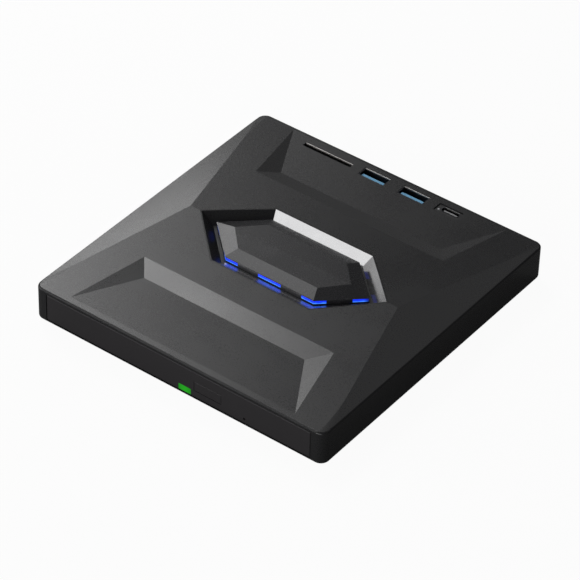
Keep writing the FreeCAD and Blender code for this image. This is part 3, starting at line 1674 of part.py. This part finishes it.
def build_ejector():
    """The spring and pin at the back of the tray that start it out when the latch lets go."""
    centre = (ejector_x, ejector_z)
    end = drive_back - S.base_sheet
    pin = joined(
        rod("y", centre, (tray_back - S.ejector_length, end), S.ejector_radius / 2),
        rod("y", centre, (end - 0.8, end), S.ejector_radius),
    )
    node("ejector_pin", pin)
    wire = float(S.spring_wire)
    turns = 5
    outer = float(S.ejector_radius) - 0.02
    start, stop = float(tray_back - S.spring_seat), float(end) - 1.05
    path = Part.makeHelix((stop - start) / turns, stop - start, outer - wire / 2)
    corners = [(outer - wire, -wire / 2), (outer, -wire / 2), (outer, wire / 2), (outer - wire, wire / 2)]
    section = Part.makePolygon([Vector(x, 0, z) for x, z in corners + corners[:1]])
    spring = Part.Wire(path.Edges).makePipeShell([section], True, True)
    spring.Placement = Placement(Vector(float(ejector_x), start, float(ejector_z)), ALONG["y"])
    node("ejector_spring", formed(spring))


node("tray", build_tray())
build_bezel()
build_button()
build_tray_front()
build_tray_shield()
build_traverse_frame()
build_sled_drive()
build_spindle()
build_pickup()
build_latch()
build_ejector()

doc.recompute()
for thing in doc.Objects:
    if {"Invalid", "Error"} & set(thing.State):
        raise SystemExit(f"{thing.Label} failed: {thing.State}")
for name, thing in NODES.items():
    if thing.Shape.isNull() or not thing.Shape.isValid() or not thing.Shape.Solids:
        raise SystemExit(f"{name} has no valid solid")

os.makedirs("parts", exist_ok=True)
for name, thing in NODES.items():
    thing.Shape.exportStep(f"parts/{name}.step")
print(len(NODES), "nodes")
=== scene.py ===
import math
from itertools import product

import bpy
from mathutils import Matrix, Vector


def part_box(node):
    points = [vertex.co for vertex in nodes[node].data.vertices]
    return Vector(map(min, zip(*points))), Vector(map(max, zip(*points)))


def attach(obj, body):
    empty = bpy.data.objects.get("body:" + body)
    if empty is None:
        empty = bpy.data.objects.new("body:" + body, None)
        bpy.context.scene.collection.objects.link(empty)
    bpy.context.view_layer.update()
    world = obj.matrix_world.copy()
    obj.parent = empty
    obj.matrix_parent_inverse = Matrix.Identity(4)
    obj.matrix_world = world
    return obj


# External disc drive: finishes, fine detail, light and camera. Metres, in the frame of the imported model.

MM = 0.001

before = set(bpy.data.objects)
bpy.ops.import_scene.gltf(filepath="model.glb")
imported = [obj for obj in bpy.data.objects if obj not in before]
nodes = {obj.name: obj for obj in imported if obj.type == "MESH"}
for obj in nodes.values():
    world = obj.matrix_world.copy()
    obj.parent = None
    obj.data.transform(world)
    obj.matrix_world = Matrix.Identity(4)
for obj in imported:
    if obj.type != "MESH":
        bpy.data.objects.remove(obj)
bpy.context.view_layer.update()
scene = bpy.context.scene
scene.view_settings.view_transform = "Standard"


# Shader maths


class Link:
    """An output socket that takes part in sums; each sum adds a Math node to its tree."""

    def __init__(self, tree, socket):
        self.tree = tree
        self.socket = socket

    def maths(self, operation, *others):
        values = {i: value for i, value in enumerate((self, *others))}
        return add_node(self.tree, "ShaderNodeMath", {"operation": operation}, values)

    def __add__(self, other):
        return self.maths("ADD", other)

    def __sub__(self, other):
        return self.maths("SUBTRACT", other)

    def __rsub__(self, other):
        return (self * -1.0) + other

    def __mul__(self, other):
        return self.maths("MULTIPLY", other)

    def __truediv__(self, other):
        return self.maths("DIVIDE", other)

    def sine(self):
        return self.maths("SINE")

    def size(self):
        return self.maths("ABSOLUTE")

    def above(self, level):
        return self.maths("GREATER_THAN", level)

    def below(self, level):
        return self.maths("LESS_THAN", level)

    def between(self, low, high):
        return self.above(low) * self.below(high)

    def remainder(self, step):
        return self.maths("FLOORED_MODULO", step)

    def ramp(self, low, high):
        """0 at low and under, 1 at high and over."""
        settings = {"clamp": True}
        return add_node(self.tree, "ShaderNodeMapRange", settings, {0: self, 1: low, 2: high})


def add_node(tree, kind, settings=None, values=None, output=0):
    """A node with its settings and the values or links of its inputs, as one of its outputs."""
    made = tree.nodes.new(kind)
    for name, value in (settings or {}).items():
        setattr(made, name, value)
    for name, value in (values or {}).items():
        if isinstance(value, Link):
            tree.links.new(value.socket, made.inputs[name])
        else:
            made.inputs[name].default_value = value
    return Link(tree, made.outputs[output])


class Finish:
    """A material with one Principled shader, and the patterns that feed it."""

    def __init__(self, name, colour, roughness, metallic=0.0, **shader_values):
        self.material = bpy.data.materials.new(name)
        self.material.use_nodes = True
        self.tree = self.material.node_tree
        self.shader = self.tree.nodes["Principled BSDF"]
        self.set("Base Color", (*colour, 1.0))
        self.set("Roughness", roughness)
        self.set("Metallic", metallic)
        for words, value in shader_values.items():
            self.set(words.replace("_", " ").title(), value)

    def set(self, name, value):
        if isinstance(value, Link):
            self.tree.links.new(value.socket, self.shader.inputs[name])
        else:
            self.shader.inputs[name].default_value = value

    def node(self, kind, settings=None, values=None, output=0):
        return add_node(self.tree, kind, settings, values, output)

    def place(self):
        """The point on the piece, in metres."""
        return self.node("ShaderNodeTexCoord", output="Object")

    def split(self, vector):
        """A vector's three parts."""
        parts = self.node("ShaderNodeSeparateXYZ", values={0: vector})
        return [Link(self.tree, parts.socket.node.outputs[i]) for i in range(3)]

    def facing(self):
        """The direction that the surface faces, as three parts."""
        return self.split(self.node("ShaderNodeTexCoord", output="Normal"))

    def axes(self):
        """The point on the piece, as three parts."""
        return self.split(self.place())

    def noise(self, grain, detail=2.0, stretch=(1.0, 1.0, 1.0)):
        """Smooth random values about one half, as wide as the grain in metres."""
        place = self.node("ShaderNodeVectorMath", {"operation": "MULTIPLY"}, {0: self.place(), 1: stretch})
        values = {"Vector": place, "Scale": 1.0 / grain, "Detail": detail}
        return self.node("ShaderNodeTexNoise", values=values)

    def cells(self, grain):
        """The distance to the nearest of scattered points, a grain apart."""
        values = {"Vector": self.place(), "Scale": 1.0 / grain}
        return self.node("ShaderNodeTexVoronoi", values=values)

    def mix(self, share, first, second):
        """A colour between two, by a share from 0 to 1."""
        colours = [c if isinstance(c, Link) else (*c, 1.0) for c in (first, second)]
        return self.node("ShaderNodeMix", {"data_type": "RGBA"}, {0: share, 6: colours[0], 7: colours[1]}, 2)

    def bump(self, height, depth):
        values = {"Height": height, "Distance": depth, "Strength": 1.0}
        self.set("Normal", self.node("ShaderNodeBump", values=values))


PLASTIC_CLOUD = 28 * MM
METAL_CLOUD = 9 * MM


def grained_plastic(name, colour, roughness, grain=0.35 * MM, depth=0.006 * MM):
    """Moulded plastic with a fine eroded grain and faintly uneven gloss."""
    finish = Finish(name, colour, roughness)
    fine = finish.noise(grain, 3.0)
    cloud = finish.noise(PLASTIC_CLOUD, 2.0)
    lighter = tuple(min(1.0, c * 1.25 + 0.002) for c in colour)
    finish.set("Base Color", finish.mix(fine * 0.6 + cloud * 0.4, colour, lighter))
    finish.set("Roughness", (fine - 0.5) * 0.12 + (cloud - 0.5) * 0.1 + roughness)
    finish.bump(fine, depth)
    return finish


def sheet_metal(name, colour, roughness, grain=(0.2 * MM, 6 * MM), across="x"):
    """Rolled or brushed metal: fine streaks along one axis."""
    finish = Finish(name, colour, roughness, metallic=1.0)
    stretch = {"x": (1.0, grain[0] / grain[1], 1.0), "y": (grain[0] / grain[1], 1.0, 1.0)}[across]
    streak = finish.noise(grain[0], 2.0, stretch)
    cloud = finish.noise(METAL_CLOUD, 2.0)
    dull = tuple(c * 0.82 for c in colour)
    finish.set("Base Color", finish.mix(streak * 0.5 + cloud * 0.5, dull, colour))
    finish.set("Roughness", (streak - 0.5) * 0.18 + (cloud - 0.5) * 0.12 + roughness)
    finish.bump(streak, 0.002 * MM)
    return finish


def circuit_board():
    """Green solder mask over copper tracks, with a few bare plated holes."""
    finish = Finish("board_laminate", (0.01, 0.09, 0.035), 0.32, coat_weight=0.4, coat_roughness=0.2)
    x, y, _ = finish.axes()
    lanes = (x + y * 0.35).remainder(1.1 * MM).between(0.25 * MM, 0.75 * MM)
    cross = (y - x * 0.2).remainder(1.7 * MM).between(0.4 * MM, 1.0 * MM)
    patch = finish.noise(4 * MM, 1.0).ramp(0.5, 0.53)
    tracks = lanes * patch + cross * (1.0 - patch)
    holes = finish.cells(2.6 * MM).below(0.13)
    green = finish.mix(tracks, (0.008, 0.075, 0.03), (0.02, 0.17, 0.06))
    finish.set("Base Color", finish.mix(holes, green, (0.62, 0.52, 0.25)))
    finish.set("Metallic", holes * 0.9)
    finish.bump(tracks * 0.5 + holes, 0.02 * MM)
    return finish


def blue_light():
    """The light guide: deep blue with a paler streak at half height, lit along the front of the ring."""
    finish = Finish("blue_light", (0.01, 0.03, 0.5), 0.4)
    x, y, z = finish.axes()
    low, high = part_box("light_guide")
    from_middle = (z - (low.z + high.z) / 2).size() / ((high.z - low.z) / 2)
    patch = finish.noise(2.2 * MM, 1.0)
    streak = (1.0 - from_middle * 1.5 + (patch - 0.5) * 0.9).ramp(0.15, 0.9)
    behind = y.ramp(-1.5 * MM, 0.0)
    left_edge = x.below(0.0) * y.ramp(low.y + 1.5 * MM, low.y + 2.5 * MM)
    lit = (1.0 - behind) * (1.0 - left_edge * 0.85)
    colour = finish.mix(streak, (0.002, 0.025, 0.75), (0.07, 0.32, 1.0))
    finish.set("Emission Color", finish.mix(lit, (0.0, 0.001, 0.02), colour))
    finish.set("Emission Strength", 1.3)
    return finish


def bright_surround():
    """Metal lacquer on the front, back and right walls and the front ledge, black gloss on the flat tops; the
    walls that face +x get that black too, as painted shade.
    """
    finish = Finish("bright_surround", (0.7, 0.7, 0.71), 0.16)
    x, y, z = finish.axes()
    right, _, up = finish.facing()
    low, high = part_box("emblem_surround")
    sloping = up.size().below(0.95)
    # Only walls facing away from +x get metal; walls facing +x keep the black as painted shade.
    lit_wall = sloping * right.below(0.05)
    ledge = z.below((low.z + high.z) / 2) * (1.0 - sloping) * x.above(0.46 * low.x) * y.below(0.0)
    streak = finish.noise(0.25 * MM, 3.0, (1.0, 1.0, 0.08))
    cloud = finish.noise(6 * MM, 2.0)
    bright = finish.mix(streak * 0.6 + cloud * 0.4, (0.56, 0.56, 0.57), (0.8, 0.8, 0.8))
    dark = finish.mix(ledge, (0.018, 0.018, 0.019), (0.5, 0.5, 0.52))
    finish.set("Base Color", finish.mix(lit_wall, dark, bright))
    finish.set("Metallic", lit_wall * 0.95 + ledge * 0.95)
    finish.set("Roughness", (streak - 0.5) * 0.1 + 0.28 - lit_wall * 0.08)
    finish.bump(streak, 0.0006 * MM)
    return finish


LIP_SHINE = 0.32 * MM
LIP_SHINE_HEIGHT = 0.5 * MM


def port_shell(name, colour, lip_highlight_colour, piece):
    """Dull metal in a socket, with a painted highlight along its far lip."""
    finish = Finish(name, colour, 0.35, metallic=0.9)
    _, y, z = finish.axes()
    _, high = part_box(piece)
    # A pale colour on the far lip: a painted highlight where its edge catches the light.
    lip = y.above(high.y - LIP_SHINE) * z.above(high.z - LIP_SHINE_HEIGHT)
    streak = finish.noise(0.12 * MM, 2.0, (0.1, 1.0, 1.0))
    dull = finish.mix(streak, colour, tuple(c * 1.4 for c in colour))
    finish.set("Base Color", finish.mix(lip, dull, lip_highlight_colour))
    finish.set("Roughness", (streak - 0.5) * 0.15 + 0.36)
    finish.bump(streak, 0.002 * MM)
    return finish


THREAD_PITCH = 3.0 * MM


def threaded_steel():
    """Turned steel with the lead screw's thread, worked out along the screw's own axis."""
    finish = Finish("threaded_steel", (0.5, 0.5, 0.52), 0.28, metallic=1.0)
    x, y, z = finish.axes()
    low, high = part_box("lead_screw")
    middle = (low + high) / 2
    along = (x + y) * math.sqrt(0.5)
    across = (x - middle.x - y + middle.y) * math.sqrt(0.5)
    turn = across.maths("ARCTAN2", z - middle.z) / (2 * math.pi)
    groove = (along / THREAD_PITCH + turn).remainder(1.0).ramp(0.0, 0.55)
    # Dark at the foot of each turn of the thread, bright on the crest: painted shade in the groove.
    finish.set("Base Color", finish.mix(groove, (0.2, 0.2, 0.21), (0.55, 0.55, 0.57)))
    finish.set("Roughness", finish.noise(0.3 * MM) * 0.15 + 0.22)
    finish.bump(groove, 0.12 * MM)
    return finish


def green_light():
    """The front window, lit from behind its middle."""
    finish = Finish("green_light", (0.01, 0.15, 0.01), 0.35)
    x, _, z = finish.axes()
    low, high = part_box("activity_light")
    width = (x - (low.x + high.x) / 2).size() / ((high.x - low.x) / 2)
    glow = (1.0 - width * width * 0.55) * (finish.noise(0.8 * MM, 2.0) * 0.3 + 0.85)
    finish.set("Emission Color", finish.mix(glow, (0.0, 0.1, 0.0), (0.015, 0.42, 0.01)))
    finish.set("Emission Strength", 0.65)
    return finish


def lens_coating():
    """Clear lens with a violet coating that turns paler at a slant."""
    finish = Finish("coated_lens", (0.12, 0.1, 0.3), 0.03, coat_weight=1.0, coat_roughness=0.02)
    finish.set("Alpha", 0.75)
    tint = finish.node("ShaderNodeFresnel", values={"IOR": 1.6})
    finish.set("Base Color", finish.mix(tint, (0.1, 0.06, 0.35), (0.25, 0.5, 0.9)))
    return finish


WIRE_PITCH = 0.25 * MM


def copper_winding():
    """Enamelled wire in close turns."""
    finish = Finish("copper_winding", (0.55, 0.2, 0.07), 0.35, metallic=1.0)
    _, y, _ = finish.axes()
    turns = (y * (2 * math.pi / WIRE_PITCH)).sine()
    # Darker between the turns and paler on their tops: painted shade and painted highlight.
    finish.set("Base Color", finish.mix(turns * 0.5 + 0.5, (0.3, 0.09, 0.03), (0.7, 0.28, 0.1)))
    finish.bump(turns, 0.06 * MM)
    return finish


def flat_film():
    """Amber film with dark conductors showing through along its length."""
    finish = Finish("flat_film", (0.5, 0.22, 0.04), 0.3, coat_weight=0.5, coat_roughness=0.15)
    x, _, _ = finish.axes()
    lane = x.remainder(0.8 * MM).between(0.2 * MM, 0.6 * MM)
    finish.set("Base Color", finish.mix(lane, (0.55, 0.25, 0.05), (0.24, 0.09, 0.02)))
    finish.bump(lane, 0.02 * MM)
    return finish


housing = grained_plastic("housing_plastic", (0.017, 0.017, 0.018), 0.28)
bezel = grained_plastic("bezel_plastic", (0.028, 0.026, 0.028), 0.42)
tray_black = grained_plastic("tray_plastic", (0.02, 0.02, 0.022), 0.45, depth=0.01 * MM)
cap_black = grained_plastic("cap_plastic", (0.019, 0.019, 0.021), 0.27)
socket_black = grained_plastic("socket_plastic", (0.015, 0.015, 0.016), 0.4, grain=0.2 * MM)
# The tongues' blue is paler than their own blue: part of it is painted highlight.
tongue_blue = grained_plastic("tongue_blue", (0.2, 0.52, 0.86), 0.4, grain=0.2 * MM)
grey_plastic = grained_plastic("grey_plastic", (0.4, 0.4, 0.41), 0.4, grain=0.2 * MM)
rail_white = grained_plastic("rail_plastic", (0.62, 0.62, 0.58), 0.45)
chip_black = grained_plastic("chip_plastic", (0.012, 0.012, 0.013), 0.55, grain=0.12 * MM)
foot_rubber = grained_plastic("foot_rubber", (0.012, 0.012, 0.012), 0.75, grain=0.25 * MM, depth=0.02 * MM)
clear_pipe = grained_plastic("clear_pipe", (0.55, 0.56, 0.58), 0.2, grain=0.4 * MM)
plated = sheet_metal("plated_steel", (0.62, 0.62, 0.64), 0.3, (0.12 * MM, 3 * MM))
galvanised = sheet_metal("galvanised_steel", (0.5, 0.51, 0.52), 0.5)
turned = sheet_metal("turned_steel", (0.5, 0.5, 0.52), 0.3, (0.1 * MM, 4 * MM), "y")
black_screw = sheet_metal("blackened_steel", (0.09, 0.09, 0.1), 0.38, (0.1 * MM, 1 * MM))
die_cast = sheet_metal("die_cast", (0.42, 0.42, 0.44), 0.5, (0.4 * MM, 1 * MM))
gold = sheet_metal("gold_plate", (0.83, 0.6, 0.25), 0.25, (0.08 * MM, 1 * MM))
SHELL_DARK = (0.05, 0.05, 0.055)
# Pale colour of the painted highlight on a socket's far lip.
LIP_HIGHLIGHT = (0.85, 0.82, 0.8)
board = circuit_board()
blue = blue_light()
green = green_light()

FINISHES = {
    "top_cover": housing,
    "bottom_cover": housing,
    "tray_bezel": bezel,
    "eject_button": bezel,
    "emblem_surround": bright_surround(),
    "emblem_cap": cap_black,
    "light_mask": cap_black,
    "light_guide": blue,
    "board_leds": blue,
    "activity_light": green,
    "rubber_feet": foot_rubber,
    "turntable_pad": foot_rubber,
    "case_screws": black_screw,
    "board_screws": plated,
    "hub_board": board,
    "led_board": board,
    "drive_board": board,
    "tray_board": board,
    "hub_chips": chip_black,
    "drive_chips": chip_black,
    "hub_plug": chip_black,
    "drive_connector": chip_black,
    "eject_switch": chip_black,
    "laser_module": chip_black,
    "usb_shell_left": port_shell("usb_shell", SHELL_DARK, LIP_HIGHLIGHT, "usb_shell_left"),
    "usb_shell_right": port_shell("usb_shell", SHELL_DARK, LIP_HIGHLIGHT, "usb_shell_right"),
    "usb_c_shell": port_shell("usb_c_shell", SHELL_DARK, (0.3, 0.3, 0.3), "usb_c_shell"),
    "usb_tongue_left": tongue_blue,
    "usb_tongue_right": tongue_blue,
    "card_socket": socket_black,
    "usb_c_insert": socket_black,
    "usb_c_tongue": grey_plastic,
    "port_light": clear_pipe,
    "drive_base": galvanised,
    "drive_lid": galvanised,
    "rail_guide_left": galvanised,
    "rail_guide_right": galvanised,
    "tray_shield": galvanised,
    "traverse_frame": galvanised,
    "latch_post": galvanised,
    "flex_cable": flat_film(),
    "rail_left": rail_white,
    "rail_right": rail_white,
    "tray": tray_black,
    "ejector_spring": turned,
    "turntable": tray_black,
    "lens_holder": tray_black,
    "latch_lever": tray_black,
    "spindle_motor": turned,
    "spindle_rotor": turned,
    "sled_motor": turned,
    "guide_rods": turned,
    "lead_screw": threaded_steel(),
    "clamp_balls": turned,
    "ejector_pin": turned,
    "latch_yoke": turned,
    "lens_magnets": turned,
    "latch_coil": copper_winding(),
    "pickup_body": die_cast,
    "objective_lens": lens_coating(),
}
for name, finish in FINISHES.items():
    mesh = nodes[name].data
    mesh.materials.clear()
    mesh.materials.append(finish.material)


# Fine pieces


def piece(name, corners, faces, host, finish, slot):
    """An object of these corners and faces, on the body named host."""
    mesh = bpy.data.meshes.new(name)
    mesh.from_pydata(corners, [], faces)
    mesh.materials.append(finish.material)
    made = bpy.data.objects.new(name, mesh)
    scene.collection.objects.link(made)
    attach(made, host)


BOX_FACES = [(0, 1, 3, 2), (4, 6, 7, 5), (0, 4, 5, 1), (2, 3, 7, 6), (0, 2, 6, 4), (1, 5, 7, 3)]


def bars(name, boxes, host, finish, slot):
    """Small straight pieces, each between two corners, as one object on the body named host."""
    corners, faces = [], []
    for low, high in boxes:
        first = len(corners)
        corners += product(*zip(low, high))
        faces += [[first + corner for corner in face] for face in BOX_FACES]
    piece(name, corners, faces, host, finish, slot)


SLOT_HALF = 12.45 * MM
SLOT_DEPTH = 2.75 * MM
LIP_THICKNESS = 0.42 * MM
LIP_HEIGHT = 0.8 * MM


def add_card_slot_lip():
    """The folded steel edge of the card socket's cover, seen along the slot's far side."""
    low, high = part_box("card_socket")
    shell_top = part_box("usb_shell_left")[1].z
    x = (low.x + high.x) / 2
    far = (low.y + high.y) / 2 + SLOT_DEPTH / 2
    lip = port_shell("slot_lip", (0.7, 0.67, 0.65), LIP_HIGHLIGHT, "usb_shell_left")
    foot = (x - SLOT_HALF, far - LIP_THICKNESS, shell_top - LIP_HEIGHT)
    bars("card_slot_lip", [(foot, (x + SLOT_HALF, far, shell_top))], "housing", lip, "port_shell")


CONTACT_THICKNESS = 0.04 * MM
USB_A_CONTACTS = [place * MM for place in (-3.5, -1.0, 1.0, 3.5)]
USB_A_STRIP = {"width": 1.1 * MM, "start": 0.7 * MM, "length": 4 * MM}
USB_C_CONTACTS = [(i - 5.5) * 0.5 * MM for i in range(12)]
USB_C_STRIP = {"width": 0.25 * MM, "start": 0.3 * MM, "length": 2.5 * MM}


def add_tongue_contacts(tongue, places, width, start, length):
    """Gold strips along a socket tongue's far face, at places across it."""
    low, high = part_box(tongue)
    middle = (low.x + high.x) / 2
    top = high.z - start
    boxes = []
    for place in places:
        x = middle + place
        foot = (x - width / 2, high.y, top - length)
        boxes.append((foot, (x + width / 2, high.y + CONTACT_THICKNESS, top)))
    bars(tongue.replace("tongue", "contacts"), boxes, "housing", gold, "port_shell")


def hull(points):
    """The outer corners of flat points, counter-clockwise."""
    points = sorted(set(points))
    rings = []
    for run in (points, points[::-1]):
        ring = []
        for point in run:
            while len(ring) > 1 and turn(ring[-2], ring[-1], point) <= 0:
                ring.pop()
            ring.append(point)
        rings.append(ring[:-1])
    return rings[0] + rings[1]


def turn(a, b, c):
    """Above 0 where the way from a to b to c bends left."""
    return (b[0] - a[0]) * (c[1] - a[1]) - (b[1] - a[1]) * (c[0] - a[0])


UNDERPLATE_GAP = 0.05 * MM
UNDERPLATE_THICKNESS = 0.2 * MM


def add_underplate():
    """Thin sheet under the traverse, which closes the tray's window from below."""
    edge = hull([(round(v.co.x, 5), round(v.co.y, 5)) for v in nodes["traverse_frame"].data.vertices])
    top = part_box("traverse_frame")[0].z - UNDERPLATE_GAP
    count = len(edge)
    corners = [(x, y, top - UNDERPLATE_THICKNESS) for x, y in edge] + [(x, y, top) for x, y in edge]
    faces = [list(range(count))[::-1], list(range(count, 2 * count))]
    for i in range(count):
        after = (i + 1) % count
        faces.append([i, after, count + after, count + i])
    piece("tray_underplate", corners, faces, "tray", galvanised, "sheet_steel")


add_underplate()
add_card_slot_lip()
for side in ("left", "right"):
    add_tongue_contacts(f"usb_tongue_{side}", USB_A_CONTACTS, **USB_A_STRIP)
add_tongue_contacts("usb_c_tongue", USB_C_CONTACTS, **USB_C_STRIP)


# Light, floor and background


MIRRORED_WHITE = 0.03


def white_seen(tree, shader, plain, share=1.0):
    """Mix plain white into a shader by a share: for the camera and through glass, less in mirrors."""
    path = tree.nodes.new("ShaderNodeLightPath")
    camera, glossy, through = (
        Link(tree, path.outputs[name]) for name in ("Is Camera Ray", "Is Glossy Ray", "Is Transmission Ray")
    )
    seen = camera.maths("MAXIMUM", through) * share + glossy * MIRRORED_WHITE
    mixed = tree.nodes.new("ShaderNodeMixShader")
    tree.links.new(seen.socket, mixed.inputs[0])
    tree.links.new(shader, mixed.inputs[1])
    tree.links.new(plain, mixed.inputs[2])
    return mixed.outputs[0]


def set_world(strength):
    """A dim even room that the camera sees as white."""
    world = bpy.data.worlds.new("studio")
    world.use_nodes = True
    scene.world = world
    tree = world.node_tree
    room = tree.nodes["Background"]
    room.inputs["Color"].default_value = (1.0, 1.0, 1.0, 1.0)
    room.inputs["Strength"].default_value = strength
    plain = tree.nodes.new("ShaderNodeBackground")
    mixed = white_seen(tree, room.outputs[0], plain.outputs[0])
    tree.links.new(mixed, tree.nodes["World Output"].inputs["Surface"])


CENTRE = Vector((0.0, 0.0, 0.0))


def lamp(name, place, size, power):
    """A rectangular soft lamp at a place, turned to face the drive."""
    light = bpy.data.lights.new(name, "AREA")
    light.shape = "RECTANGLE"
    light.size, light.size_y = size
    light.energy = power
    made = bpy.data.objects.new(name, light)
    scene.collection.objects.link(made)
    made.location = place
    made.rotation_euler = (CENTRE - Vector(place)).to_track_quat("-Z", "Y").to_euler()


FLOOR_HALF = 4.0
FLOOR_LEVEL = -0.02 * MM
FLOOR_WHITE = 0.95
FLOOR_ROUGHNESS = 0.9
FLOOR_SEEN = 0.94
FLOOR_BOUNCE = 0.14


def add_floor():
    """A large pale floor under the feet that keeps the drive's soft shadow."""
    mesh = bpy.data.meshes.new("floor")
    corners = [(x * FLOOR_HALF, y * FLOOR_HALF, FLOOR_LEVEL) for x, y in ((-1, -1), (1, -1), (1, 1), (-1, 1))]
    mesh.from_pydata(corners, [], [(0, 1, 2, 3)])
    floor = bpy.data.objects.new("floor", mesh)
    scene.collection.objects.link(floor)
    material = bpy.data.materials.new("floor")
    material.use_nodes = True
    tree = material.node_tree
    shader = tree.nodes["Principled BSDF"]
    to_camera = add_node(tree, "ShaderNodeLightPath")
    tint = {6: (*(FLOOR_BOUNCE,) * 3, 1.0), 7: (*(FLOOR_SEEN,) * 3, 1.0)}
    colour = add_node(tree, "ShaderNodeMix", {"data_type": "RGBA"}, {0: to_camera, **tint}, 2)
    tree.links.new(colour.socket, shader.inputs["Base Color"])
    shader.inputs["Roughness"].default_value = FLOOR_ROUGHNESS
    plain = tree.nodes.new("ShaderNodeEmission")
    mixed = white_seen(tree, shader.outputs[0], plain.outputs[0], FLOOR_WHITE)
    tree.links.new(mixed, tree.nodes["Material Output"].inputs["Surface"])
    mesh.materials.append(material)


# The camera stands where a fit to the photograph's edges and corners puts it.

PHOTO_WIDTH_PX = 580
SENSOR_MM = 36.0
FOCAL_PX = 3240.953
AZIMUTH, ELEVATION, ROLL = (math.radians(a) for a in (36.122, 39.220, 1.742))
DISTANCE = 1330.649 * MM
AIM_RIGHT, AIM_UP = -0.492 * MM, 2.052 * MM
AIM_HEIGHT = 1.0 * MM
NEAREST_SEEN, FARTHEST_SEEN = 0.05, 20.0


def add_camera():
    """The photograph's camera, from its fitted angles, distance and aim."""
    back = Vector((
        math.sin(AZIMUTH) * math.cos(ELEVATION),
        -math.cos(AZIMUTH) * math.cos(ELEVATION),
        math.sin(ELEVATION),
    ))
    level = Vector((math.cos(AZIMUTH), math.sin(AZIMUTH), 0.0))
    upright = back.cross(level)
    right = level * math.cos(ROLL) + upright * math.sin(ROLL)
    up = upright * math.cos(ROLL) - level * math.sin(ROLL)
    place = back * DISTANCE + right * AIM_RIGHT + up * AIM_UP + Vector((0.0, 0.0, AIM_HEIGHT))
    data = bpy.data.cameras.new("camera")
    data.sensor_width = SENSOR_MM
    data.lens = FOCAL_PX / PHOTO_WIDTH_PX * SENSOR_MM
    data.clip_start, data.clip_end = NEAREST_SEEN, FARTHEST_SEEN
    camera = bpy.data.objects.new("camera", data)
    scene.collection.objects.link(camera)
    facing = Matrix((right, up, back)).transposed()
    camera.matrix_world = Matrix.Translation(place) @ facing.to_4x4()
    scene.camera = camera


# Each lamp's name, place, size and power in watts.
LAMPS = [
    ("key_box", (-1.225, 0.707, 1.685), (0.4, 0.4), 7.6),
    ("key_edge_box", (-1.291, 1.083, 1.414), (0.35, 0.35), 1.4),
    ("far_box", (-1.199, 1.429, 1.166), (0.35, 0.35), 0.7),
    ("cap_box", (-0.686, 0.23, 1.316), (0.35, 0.35), 0.9),
    ("cap_left_box", (-1.095, 0.51, 0.885), (0.2, 0.2), 0.9),
    ("back_box", (0.0, 1.05, 1.2), (0.9, 0.9), 0.85),
    ("low_back_box", (-0.675, 1.3, 0.3), (0.5, 0.3), 0.12),
    ("front_left_box", (-0.686, -0.725, 1.122), (0.6, 0.6), 1.25),
    ("left_soft_box", (-1.3, -0.9, 0.45), (1.4, 0.7), 6.0),
    ("front_soft_box", (0.2, -1.4, 0.4), (1.4, 0.6), 8.0),
    ("left_facet_box", (-1.08, 0.915, 0.48), (0.4, 0.3), 0.3),
    ("surround_box", (-1.455, 0.195, 0.33), (0.3, 0.3), 0.1),
    ("left_near_strip", (-0.356, 0.206, 0.183), (0.12, 0.07), 0.14),
]
ROOM_STRENGTH = 0.05

set_world(ROOM_STRENGTH)
add_floor()
for settings in LAMPS:
    lamp(*settings)
add_camera()
